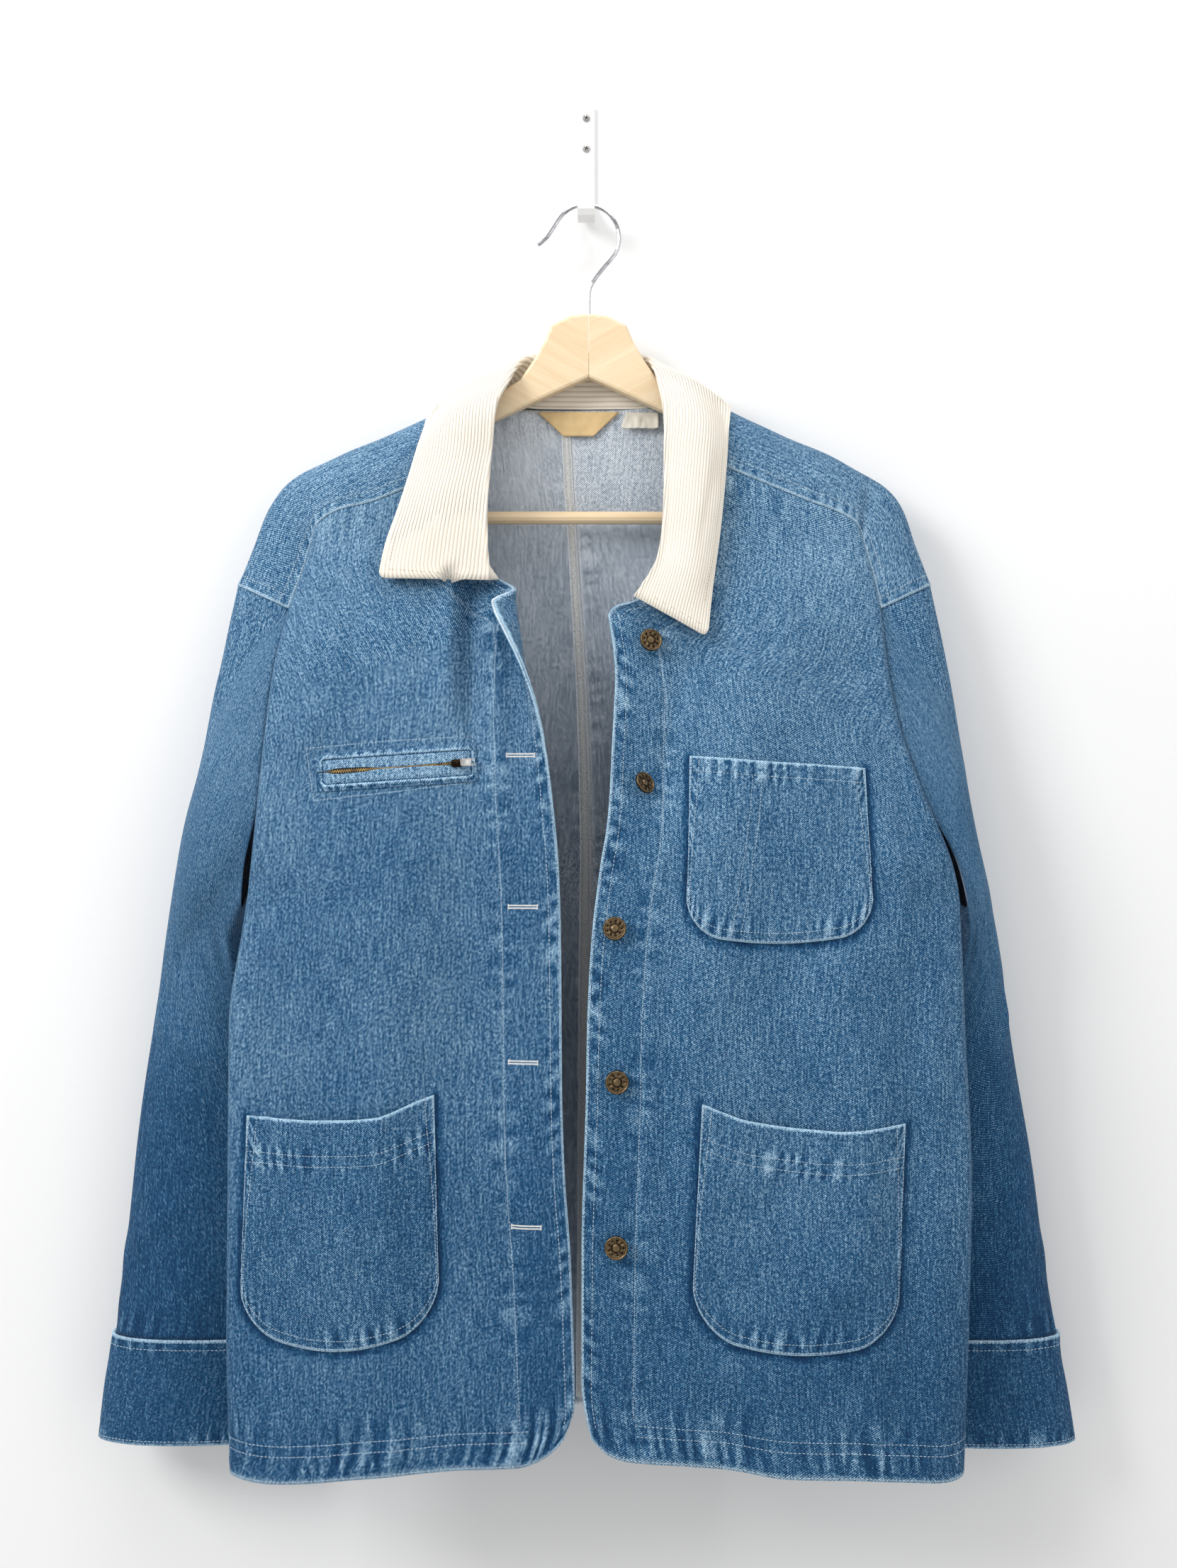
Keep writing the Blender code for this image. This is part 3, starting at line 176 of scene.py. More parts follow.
SIDE_LINE = {
    "right": table_of(
        Level, (304, 207), (332, 214), (362, 224), (407, 234), (464, 240), (522, 245), (575, 251),
        (608, 255), (665, 262), (893, 262), (990, 259),
    ),
    "left": table_of(
        Level, (304, 207), (332, 214), (362, 220), (407, 224), (447, 231), (499, 248), (554, 270),
        (575, 275), (665, 276), (779, 280), (893, 277), (990, 273),
    ),
}
BODY_DEPTHS = table_of(
    Depths, (200, 50, 36), (250, 57, 44), (304, 65, 52), (362, 79, 62), (407, 90, 70), (450, 99, 77),
    (522, 108, 84), (550, 111, 83), (575, 113, 78), (600, 116, 84), (650, 120, 93), (700, 124, 97),
    (800, 131, 100), (900, 136, 103), (990, 140, 105),
)
BACK_MIDDLE = table_of(Level, (200, 18), (250, 16), (304, 14), (400, 12.5), (500, 12), (990, 12))
BACK_EDGE = table_of(
    BackEdge, (200, 207, 19, 2.4, 2.4), (304, 207, 20, 2.4, 2.4), (332, 213, 22, 2.4, 2.4),
    (362, 218, 23, 2.4, 2.4), (450, 230, 24, 2.3, 2.3), (500, 237, 25, 2.2, 2.2),
    (530, 242, 30, 2.1, 2.0), (552, 247, 43, 2.0, 1.6), (566, 249, 59, 1.9, 1.4),
    (575, 251, 78, 1.8, 1.25), (990, 259, 105, 1.8, 1.25),
)
INNER_LINE = {
    "right": table_of(
        Level, (248, 79), (289, 80), (315, 79), (338, 69), (348, 52), (360, 29), (414, 27), (494, 24),
        (550, 20.5), (606, 19), (717, 18), (773, 16), (828, 12), (884, 10), (933, 9), (957, 17),
    ),
    "left": table_of(
        Level, (238, 64), (280, 63), (310, 61), (338, 53), (356, 38), (365, 15), (411, 20), (460, 18),
        (516, 15), (555, 9), (606, 3), (662, 0), (717, -1), (828, -4), (920, -4), (957, 3),
    ),
}
HEM_LINE = {
    "right": table_of(
        Share, (0, 957), (0.03, 966), (0.075, 973), (0.13, 977), (0.3, 979), (0.45, 983), (0.6, 987),
        (0.72, 991), (0.85, 993), (1, 990),
    ),
    "left": table_of(
        Share, (0, 957), (0.04, 968), (0.1, 973), (0.25, 976), (0.35, 979), (0.5, 986), (0.65, 988),
        (0.8, 991), (0.92, 994), (1, 990),
    ),
}
FRONT_TOP = {
    "right": table_of(Share, (0, 248), (0.46, 272), (0.64, 281), (0.83, 287), (0.93, 294), (1, 304)),
    "left": table_of(Share, (0, 238), (0.4, 262), (0.7, 280), (0.85, 288), (0.94, 295), (1, 304)),
}
BACK_TOP = table_of(
    Share, (0, 204), (0.17, 203.5), (0.319, 200), (0.48, 229), (0.68, 259), (0.87, 284), (1, 304),
)
BACK_HEM = table_of(Share, (0, 978), (0.5, 981), (0.8, 988), (1, 990))
CURLS = {
    "right": table_of(
        Curl, (338, 158), (362, 150), (385, 118), (415, 82), (453, 50), (494, 28), (550, 10), (600, 0),
        (990, 0),
    ),
    "left": table_of(Curl, (338, 0), (365, 14), (420, 10), (500, 4), (600, 0), (990, 0)),
}
RIDGE = {
    "right": table_of(
        Ridge, (73, 188, 30), (100, 202, 30), (140, 221, 31), (191, 243, 32), (215, 254, 33),
        (228, 263, 34), (237, 274, 35), (244, 286, 37), (253, 311, 40), (261, 333, 43), (265, 343, 45),
    ),
    "left": table_of(
        Ridge, (70, 187, 30), (106, 206, 30), (148, 226, 31), (191, 245, 32), (209, 255, 33),
        (225, 265, 34), (235, 275, 35), (242, 288, 37), (248, 308, 40), (255, 328, 43), (260, 343, 45),
    ),
}
RIDGE_BEND = 164.0
SLEEVE = {
    "right": table_of(
        Limb, (340, 266, 214, 50, 28), (392, 275, 232, 50, 30), (434, 284, 240, 51, 32),
        (476, 291, 246, 52, 33), (523, 302, 253, 53, 33), (571, 311, 259, 51, 31),
        (600, 317, 258, 47, 28), (630, 322, 250, 45, 27), (665, 327, 238, 44, 27),
        (700, 332, 226, 44, 27), (762, 341, 214, 42, 26), (839, 350, 216, 42, 25),
        (909, 358, 236, 43, 24),
    ),
    "left": table_of(
        Limb, (340, 261, 214, 50, 28), (374, 267, 224, 50, 30), (434, 277, 234, 51, 32),
        (493, 286, 255, 52, 33), (541, 294, 273, 53, 32), (575, 302, 282, 51, 31),
        (600, 307, 281, 47, 28), (630, 313, 272, 45, 27), (665, 318, 258, 44, 27),
        (702, 324, 244, 43, 27), (774, 336, 228, 42, 26), (839, 345, 228, 42, 25),
        (909, 356, 240, 43, 24),
    ),
}
CUFF = {
    "right": table_of(
        Limb, (909, 360, 235, 43, 25), (925, 362, 237, 43, 24), (948, 366, 238, 43, 24),
        (988, 371, 240, 43, 25),
    ),
    "left": table_of(
        Limb, (909, 358, 239, 43, 25), (925, 359, 240, 43, 24), (948, 363, 242, 43, 24),
        (990, 370, 245, 43, 25),
    ),
}
FRONT_FOLDS = {
    "right": table_of(
        Fold, (98, 345, 92, 425, 32, -5), (132, 330, 118, 640, 34, 4), (208, 370, 196, 470, 30, 4),
        (176, 520, 150, 860, 40, 5), (92, 560, 78, 900, 34, -4), (232, 600, 226, 940, 28, -4),
    ),
    "left": table_of(
        Fold, (72, 385, 66, 500, 28, -5), (110, 380, 100, 700, 34, 4), (206, 380, 222, 540, 30, -4),
        (190, 560, 214, 900, 36, 5), (150, 610, 128, 880, 36, -4), (240, 640, 238, 940, 28, -4),
    ),
}
BACK_FOLDS = table_of(
    Fold, (150, 330, 120, 560, 30, 4), (96, 400, 70, 860, 34, -3), (170, 520, 140, 940, 36, 5),
    (214, 480, 176, 640, 22, -5),
)
SLEEVE_FOLDS = table_of(
    Fold, (150, 470, 60, 560, 16, 3), (40, 600, 150, 650, 15, -3), (160, 660, 50, 720, 15, 3),
    (210, 540, 330, 620, 16, 3), (320, 640, 220, 710, 16, -3), (90, 800, 170, 850, 14, 2.5),
)
COLLAR = {
    "right": table_of(
        CollarStation,
        ("front", 341, 73, 343, 86, 155, 341, 82, 2),
        ("front", 315, 75, 310, 82, 150, 316, 78, 4),
        ("front", 287, 75, 280, 77, 142, 291, 73, 5),
        ("front", 262, 73, 251, 71, 134, 265, 69, 5),
        ("yoke", 62, 69, 210, 67, 127, 239, 62, 5),
        ("yoke", 28, 60, 187, 50, 122, 219, 46, 5),
        ("yoke", 0, 53, 170, 32, 117, 207, 30, 4),
        ("yoke", -60, 44, 162, 20, 104, 222, 12, 2),
        ("back", 36, 25, 160, 15, 58, 237, 9, 1),
        ("back", 0, 0, 159, 14, 0, 241, 8.5, 1),
    ),
    "left": table_of(
        CollarStation,
        ("front", 353, 35, 356, 92, 88, 386, 96, 4),
        ("front", 334, 52, 328, 92, 92, 350, 86, 7),
        ("front", 300, 57, 294, 86, 98, 309, 76, 9),
        ("front", 266, 58, 260, 78, 102, 274, 69, 9),
        ("yoke", 62, 58, 216, 70, 105, 243, 61, 8),
        ("yoke", 28, 54, 188, 51, 107, 217, 46, 6),
        ("yoke", 0, 50, 171, 32, 108, 204, 30, 4),
        ("yoke", -60, 43, 162, 20, 98, 222, 12, 2),
        ("back", 36, 25, 160, 15, 58, 237, 9, 1),
        ("back", 0, 0, 159, 14, 0, 241, 8.5, 1),
    ),
}

# Rows and columns of the cloth's grids. Seams that meet share their places.
ROW_COUNT = 23
FRONT_ROWS = (
    (0, 957), (15, 374), (16, 362), (17, 356), (18, 350), (19, 344), (20, 338), (21, 312), (23, 248),
)
CORNER_DROP = 360.0
SIDE_ROWS = ((0, 990), (12, 575), (19, 362), (23, 304))
BACK_ROWS = ((0, 978), (23, 204))
UNDERARM_ROW = 12
CAP_ROW = 19
FRONT_COLUMNS = (0, 0.057, 0.0755, 0.094, 0.112, 0.131, FACING_SHARE, 0.29, 0.41, 0.54, 0.67, 0.79, 0.9, 1.0)
BACK_COLUMNS = (0, 0.106, 0.213, 0.319, 0.404, 0.489, 0.574, 0.66, 0.745, 0.83, 0.915, 1.0)
YOKE_FRONT_STATIONS = (0, FACING_SHARE, 0.29, 0.41, 0.54, 0.67, 0.79, 0.9, 1.0)
YOKE_BACK_STATIONS = BACK_COLUMNS[3:]
YOKE_TURNS = 8
SLEEVE_ROWS = 14
COLLAR_ROWS = (1, 1, 1, 2, 2, 3, 3, 2, 1)


def smooth(knots, values, where):
    """A curve through the knots that never swings past them, read at each place in where."""
    x = np.asarray(knots, float)
    y = np.asarray(values, float)
    step = np.diff(x)
    slope = np.diff(y) / step
    tangent = np.zeros(len(x))
    same = slope[:-1] * slope[1:] > 0
    weight_a = 2 * step[1:] + step[:-1]
    weight_b = step[1:] + 2 * step[:-1]
    safe_a = np.where(same, slope[:-1], 1.0)
    safe_b = np.where(same, slope[1:], 1.0)
    tangent[1:-1] = np.where(same, (weight_a + weight_b) / (weight_a / safe_a + weight_b / safe_b), 0.0)
    tangent[0], tangent[-1] = slope[0], slope[-1]
    place = np.clip(where, x[0], x[-1])
    i = np.clip(np.searchsorted(x, place, side="right") - 1, 0, len(x) - 2)
    t = (place - x[i]) / step[i]
    return (
        y[i] * (1 + 2 * t) * (1 - t) ** 2
        + tangent[i] * step[i] * t * (1 - t) ** 2
        + y[i + 1] * t * t * (3 - 2 * t)
        + tangent[i + 1] * step[i] * t * t * (t - 1)
    )


def read(table, column, where):
    """A column of a table, read smoothly at a value of the table's first column."""
    return smooth([row[0] for row in table], [getattr(row, column) for row in table], where)


def through(points, where):
    """A smooth curve through rows of points, read at a place counted in rows."""
    points = np.asarray(points, float)
    last = len(points) - 1
    i = min(int(where), last - 1)
    t = where - i
    a, b = points[i], points[i + 1]
    before = points[i - 1] if i else 2 * a - b
    after = points[i + 2] if i + 2 <= last else 2 * b - a
    return (
        a * (1 - t) ** 2 * (1 + 2 * t)
        + b * t * t * (3 - 2 * t)
        + (b - before) / 2 * t * (1 - t) ** 2
        + (after - a) / 2 * t * t * (t - 1)
    )


def run_of(points):
    """How far along its line each point is."""
    return np.concatenate([[0], np.cumsum(np.linalg.norm(np.diff(points, axis=0), axis=1))])


def fade(value):
    """0 to 1, eased at both ends."""
    t = np.clip(value, 0.0, 1.0)
    return t * t * (3 - 2 * t)


def fold_height(folds, out, drop):
    """The height that all the folds together add at a place."""
    total = 0.0
    for fold in folds:
        along = (drop - fold.drop_top) / (fold.drop_bottom - fold.drop_top)
        middle = fold.out_top + (fold.out_bottom - fold.out_top) * along
        across = (out - middle) / fold.half_width
        ends = fade((along + 0.15) / 0.35) * fade((1.15 - along) / 0.35)
        total += fold.height * math.exp(-across * across) * ends
    return total


class Section:
    """A quarter of the body's outline at one height, from the middle line round to the side."""

    def __init__(self, start, outer, outer_depth, middle_depth, across_power, depth_power):
        angle = np.linspace(0, math.pi / 2, 181)
        self.out = start + (outer - start) * np.sin(angle) ** (2 / across_power)
        self.depth = outer_depth + (middle_depth - outer_depth) * np.cos(angle) ** (2 / depth_power)
        length = np.concatenate([[0], np.cumsum(np.hypot(np.diff(self.out), np.diff(self.depth)))])
        self.share = length / length[-1]

    def at_share(self, share):
        return np.interp(share, self.share, self.out), np.interp(share, self.share, self.depth)

    def share_at(self, out):
        return float(np.interp(out, self.out, self.share))

    def depth_at(self, out):
        return float(np.interp(out, self.out, self.depth))


def front_section(side, drop):
    """The front's outline at one height."""
    depths = read(BODY_DEPTHS, "side", drop), read(BODY_DEPTHS, "front", drop)
    return Section(FRONT_START, read(SIDE_LINE[side], "out", drop), *depths, FRONT_POWER, FRONT_POWER)


def back_section(side, drop):
    """The back's outline at one height, which runs into the front's below the underarm."""
    edge = {name: float(read(BACK_EDGE, name, drop)) for name in BackEdge._fields}
    side_out = float(read(SIDE_LINE[side], "out", drop))
    widened = edge["out"] + (side_out - edge["out"]) * fade((drop - 530) / 45)
    sunk = edge["depth"]
    if drop > SIDE_ROWS[1][1]:
        sunk = float(read(BODY_DEPTHS, "side", drop))
    middle = read(BACK_MIDDLE, "out", drop)
    return Section(0.0, widened, sunk, middle, edge["across_power"], edge["depth_power"])


def curl(side, out, depth, drop):
    """Rolls the strip along the front edge towards the viewer and back over the front."""
    inner = float(read(INNER_LINE[side], "out", max(drop, CORNER_DROP)))
    turn = math.radians(float(read(CURLS[side], "degrees", drop)))
    start = inner + CURL_WIDTH
    past = start - out
    if past <= 0 or turn < 0.01:
        return out, depth
    radius = CURL_BEND / turn
    bent = min(past, CURL_BEND)
    straight = past - bent
    angle = bent / radius
    return (
        start - radius * math.sin(angle) - straight * math.cos(angle),
        depth + radius * (1 - math.cos(angle)) + straight * math.sin(angle),
    )


def front_point(side, column, row):
    """A place on the front, from its edge (column 0) to the side (column 1), from hem to top."""
    inner_drop = np.interp(row, *zip(*FRONT_ROWS))
    side_drop = np.interp(row, *zip(*SIDE_ROWS))
    up = row / ROW_COUNT
    low = float(read(HEM_LINE[side], "drop", column)) - (FRONT_ROWS[0][1] * (1 - column) + HEM_DROP * column)
    top_start, top_end = FRONT_TOP[side][0].drop, FRONT_TOP[side][-1].drop
    high = float(read(FRONT_TOP[side], "drop", column)) - (top_start * (1 - column) + top_end * column)
    inner_drop += (top_start - FRONT_ROWS[-1][1]) * fade((row - CAP_ROW - 1) / 3)
    drop = inner_drop * (1 - column) + side_drop * column + low * (1 - up) ** 3 + high * up**3
    inner_section = front_section(side, inner_drop)
    first = inner_section.share_at(float(read(INNER_LINE[side], "out", inner_drop)))
    out, depth = front_section(side, drop).at_share(first + (1 - first) * column)
    depth += fold_height(FRONT_FOLDS[side], out, drop) * fade((1 - column) * 6)
    out, depth = curl(side, out, depth, drop)
    return np.array([out, depth, drop])


def front_spot(side, out, drop):
    """A place on the front, by its distance out along the cloth before the edge is rolled."""
    depth = front_section(side, drop).depth_at(out)
    return np.array([*curl(side, out, depth, drop), drop])


def back_point(side, column, row):
    """A place on the back, from the centre-back seam (column 0) to the side (column 1)."""
    inner_drop = np.interp(row, *zip(*BACK_ROWS))
    side_drop = np.interp(row, *zip(*SIDE_ROWS))
    up = row / ROW_COUNT
    low = float(read(BACK_HEM, "drop", column)) - (BACK_ROWS[0][1] * (1 - column) + HEM_DROP * column)
    top_start, top_end = BACK_TOP[0].drop, BACK_TOP[-1].drop
    high = float(read(BACK_TOP, "drop", column)) - (top_start * (1 - column) + top_end * column)
    drop = inner_drop * (1 - column) + side_drop * column + low * (1 - up) ** 3 + high * up**3
    out, depth = back_section(side, drop).at_share(column)
    depth += fold_height(BACK_FOLDS, out, drop) * fade((1 - column) * 5) * fade(column * 6)
    return np.array([out, depth, drop])


def ridge_point(side, length):
    """A place on the shoulder line, by its distance from the neck."""
    rows = np.array([tuple(row) for row in RIDGE[side]], float)
    run = run_of(rows)
    place = smooth(run, rows[:, 0], length), smooth(run, rows[:, 2], length), smooth(run, rows[:, 1], length)
    return np.array([float(value) for value in place]), run[-1]


def yoke_point(side, station, turn):
    """A place on the yoke: station counts out from the neck, turn is -90 at its back seam and 90 in front."""
    seams = len(YOKE_FRONT_STATIONS) - 1
    beyond = max(station - seams, 0.0)
    shoulder = min(station, seams)
    row = ROW_COUNT - beyond
    front_column = np.interp(shoulder, range(seams + 1), YOKE_FRONT_STATIONS)
    back_column = np.interp(shoulder, range(seams + 1), YOKE_BACK_STATIONS)
    whole = ridge_point(side, 0)[1]
    share = (front_column if beyond == 0 else 1.0) * RIDGE_BEND
    length = share + (whole - RIDGE_BEND) * beyond / (ROW_COUNT - CAP_ROW)
    crest = ridge_point(side, length)[0]
    angle = math.radians(turn)
    if turn > 0:
        seam = front_point(side, front_column, row)
        outward = math.sin(angle)
    else:
        seam = back_point(side, back_column, row)
        outward = math.sin(-angle) ** 0.8
    down = 1 - math.cos(angle)
    blend = np.array([down, outward, down])
    return crest + (seam - crest) * blend


def ring_points(side, front_rows, turns, back_rows):
    """The loop where the sleeve is sewn on: up the front, over the yoke and down the back."""
    last = len(YOKE_FRONT_STATIONS) - 1 + ROW_COUNT - CAP_ROW
    loop = [front_point(side, 1.0, row) for row in front_rows]
    loop += [yoke_point(side, last, turn) for turn in turns]
    loop += [back_point(side, 1.0, row) for row in back_rows]
    return np.array(loop)


def oval(table, angle, drop, shape=0.88):
    """A sleeve's outline at one height. Angle 0 is its inner side, and the front comes before pi."""
    limb = {name: read(table, name, drop) for name in Limb._fields}
    middle, half = (limb["outer"] + limb["inner"]) / 2, (limb["outer"] - limb["inner"]) / 2
    across, ahead = np.cos(angle), np.sin(angle)
    out = middle - half * np.sign(across) * np.abs(across) ** shape
    depth = limb["depth"] + limb["half_depth"] * np.sign(ahead) * np.abs(ahead) ** shape
    return np.array([out, depth, drop])


def sleeve_grid(side, rows):
    """A sleeve's points, in rows from its seam down to the cuff and columns round it from the underarm.

    Also each column's angle, and how near it starts to the underarm, from 0 to 1.
    """
    climb = list(range(UNDERARM_ROW, CAP_ROW))
    turns = [90 - 180 * k / YOKE_TURNS for k in range(YOKE_TURNS + 1)]
    ring = ring_points(side, climb, turns, climb[::-1])
    lengths = run_of(ring)
    crest = lengths[len(climb) + YOKE_TURNS // 2]
    angles = np.where(
        lengths <= crest,
        UNDERARM_ANGLE + lengths / crest * (math.pi - UNDERARM_ANGLE),
        math.pi + (lengths - crest) / (lengths[-1] - crest) * (math.pi + UNDERARM_ANGLE),
    )
    front_reach = np.exp(-((lengths / UNDERARM_REACH[0]) ** 2))
    near = np.maximum(front_reach, np.exp(-(((lengths[-1] - lengths) / UNDERARM_REACH[1]) ** 2)))
    table = SLEEVE[side]
    bottom = table[-1].drop
    grid = []
    for k in range(rows + 1):
        down = k / rows
        line = []
        for start, angle in zip(ring, angles):
            drop = start[2] + (bottom - start[2]) * down
            drop = min(drop, bottom)
            settled = oval(table, angle, drop)
            offset = start - oval(table, angle, start[2])
            point = settled + offset * max(0.0, 1 - down / 0.4) ** 4
            calm = fade(down * 5) * fade((1 - down) * 8)
            crease = fold_height(SLEEVE_FOLDS, math.degrees(angle), drop) * calm
            point[:2] += crease * np.array([-math.cos(angle), math.sin(angle)])
            line.append(point)
        line[-1] = line[0].copy()
        grid.append(line)
    return np.array(grid), angles, near


def placed(side, points):
    """Turns out, depth and drop into the model's own X, Y and Z, in metres."""
    points = np.asarray(points, float)
    return np.stack([points[..., 0] * SIDES[side], -points[..., 1], -points[..., 2]], axis=-1) / 1000


def grid_normals(grid):
    """Unit normals of a grid of points, from the runs of its rows and columns."""
    along = np.gradient(grid, axis=0)
    across = np.gradient(grid, axis=1)
    if np.allclose(grid[:, 0], grid[:, -1], atol=1e-6):
        across[:, 0] = across[:, -1] = grid[:, 1] - grid[:, -2]
    normal = np.cross(along, across)
    return normal / np.maximum(np.linalg.norm(normal, axis=-1, keepdims=True), 1e-12)


def outward(grid, normals, centre):
    """The normals turned to point away from a centre line, given as one point for each row."""
    away = grid - centre
    return normals * np.sign((normals * away).sum(axis=-1).mean())


def tree_of(grids):
    """A search tree of the quads of one or more grids of points."""
    points, quads = [], []
    for grid in grids:
        rows, columns = grid.shape[:2]
        start = len(points)
        points += [tuple(point) for point in grid.reshape(-1, 3)]
        for i in range(rows - 1):
            for j in range(columns - 1):
                k = start + i * columns + j
                quads.append((k, k + 1, k + columns + 1, k + columns))
    return BVHTree.FromPolygons(points, quads)


def kept_off(point, tree, apart, heart):
    """The point, moved out where it is closer than apart to a surface that faces away from the heart."""
    spot, normal, _, distance = tree.find_nearest(Vector(point))
    normal = normal * (1 if normal.dot(spot - heart) > 0 else -1)
    height = (Vector(point) - spot).dot(normal)
    if distance > apart * 3 or height >= apart or abs(height) < 0.1 * distance:
        return point
    return np.array(Vector(point) + normal * (apart - height))


def neck_line(side):
    """The neckline from the collar's end round to the centre back, and each point's share of its length."""
    drops = np.linspace(COLLAR[side][0].where, FRONT_TOP[side][0].drop, 25)
    line = [front_spot(side, float(read(INNER_LINE[side], "out", drop)), drop) for drop in drops]
    line += [yoke_point(side, 0, turn) for turn in np.linspace(90, -90, 49)[1:]]
    for share in np.linspace(YOKE_BACK_STATIONS[0], 0, 13)[1:]:
        line.append(back_point(side, share, ROW_COUNT))
    return np.array(line)


def neck_place(side, station, line):
    """Where on the neckline, counted in its points, a cut through the collar starts."""
    if station.piece == "front":
        spot = front_spot(side, float(read(INNER_LINE[side], "out", station.where)), station.where)
    elif station.piece == "yoke":
        spot = yoke_point(side, 0, station.where)
    else:
        drop = float(read(BACK_TOP, "drop", 0.0))
        spot = np.array([station.where, line[-1][1], drop])
    return float(np.argmin(np.linalg.norm(line - spot, axis=1)))


class Pocket(NamedTuple):
    """A patch pocket: its corners, its round lower corners, the dips of its top edge and its swell; its dip
    is not used.
    """

    side: str
    top_inner: tuple
    top_outer: tuple
    bottom_inner: tuple
    bottom_outer: tuple
    corner: float
    belly: float
    dip: float
    swell: float


POCKETS = {
    "pocket_chest": Pocket("left", (75, 473), (203, 482), (72, 601), (206, 600), 24, 8, 2, 1.5),
    "pocket_hip_right": Pocket("right", (110, 716), (246, 733), (106, 876), (249, 886), 30, 16, 7, 3.5),
    "pocket_hip_left": Pocket("left", (82, 722), (228, 737), (75, 882), (222, 888), 32, 14, 7, 3.5),
}


ZIP_START = (192.0, 485.0)
ZIP_END = (86.0, 478.0)
SLIDER_PLACE = (95.3, 478.8)


def zip_line(share, offset):
    """A place beside the zip's middle line, offset downwards."""
    start, end = np.array(ZIP_START), np.array(ZIP_END)
    run = end - start
    normal = np.array([run[1], -run[0]]) / np.linalg.norm(run)
    spot = start + run * share + normal * offset
    return spot[0], spot[1]


SLIDER_LIFT = 2.9
SLIDER_HEIGHT = 1.8
ZIP_TURN = math.radians(3.8)
TAB_PIVOT = 3.2
TAB_LENGTH = 10.3
TAB_THICK = 1.2
TAB_DROOP = math.radians(11)


class ButtonPlace(NamedTuple):
    """A button on the left front, how far it is turned on its shank, and which way."""

    out: float
    drop: float
    tilt: float
    spin: float


BUTTONS = table_of(
    ButtonPlace, (45, 389, 8, 10), (38, 495, 38, 25), (20, 598, 6, 120), (21, 706, 5, -40),
    (21, 822, 4, 200),
)


class Label(NamedTuple):
    """A label by its upper corners, its lower corners, its upper edge's height and its own."""

    start: float
    end: float
    low_start: float
    low_end: float
    drop: float
    height: float


LABELS = {
    "neck_label": Label(-39, 25, -18.5, 4.5, 205.2, 19),
    "care_label": Label(30, 55, 26, 55, 205.6, 13),
}


ROW_STEPS = 2
COLUMN_STEPS = 3
FINE_ROWS = 4
FINE_COLUMNS = 3
SLEEVE_FINE = 6
TURN_STEPS = 2
SHELL = 1.2


def refined(values, steps):
    """The values with more of them spaced evenly between neighbours."""
    places = np.arange((len(values) - 1) * steps + 1) / steps
    return np.interp(places, range(len(values)), values)


def finer(grid, times, axis, closed=False):
    """More rows of points, on smooth curves through the given ones."""
    rows = np.moveaxis(grid, axis, 0)
    count = len(rows) - 1
    place = np.arange(count * times + 1) / times
    i = np.minimum(place.astype(int), count - 1)
    t = (place - i).reshape(-1, *[1] * (rows.ndim - 1))
    before_first = rows[-2:-1] if closed else 2 * rows[:1] - rows[1:2]
    after_last = rows[1:2] if closed else 2 * rows[-1:] - rows[-2:-1]
    padded = np.concatenate([before_first, rows, after_last])
    before, a, b, after = padded[i], padded[i + 1], padded[i + 2], padded[i + 3]
    made = (
        a * (1 - t) ** 2 * (1 + 2 * t)
        + b * t * t * (3 - 2 * t)
        + (b - before) / 2 * t * (1 - t) ** 2
        + (after - a) / 2 * t * t * (t - 1)
    )
    return np.moveaxis(made, 0, axis)


def measured(grid, axis):
    """How far each point is from the first one of its row or column, in millimetres."""
    steps = np.linalg.norm(np.diff(grid, axis=axis), axis=-1) * 1000
    first = np.zeros_like(np.take(steps, [0], axis=axis))
    return np.concatenate([first, np.cumsum(steps, axis=axis)], axis=axis)


class Line(NamedTuple):
    """Points on a piece of cloth with the way the cloth faces there."""

    points: np.ndarray
    normals: np.ndarray


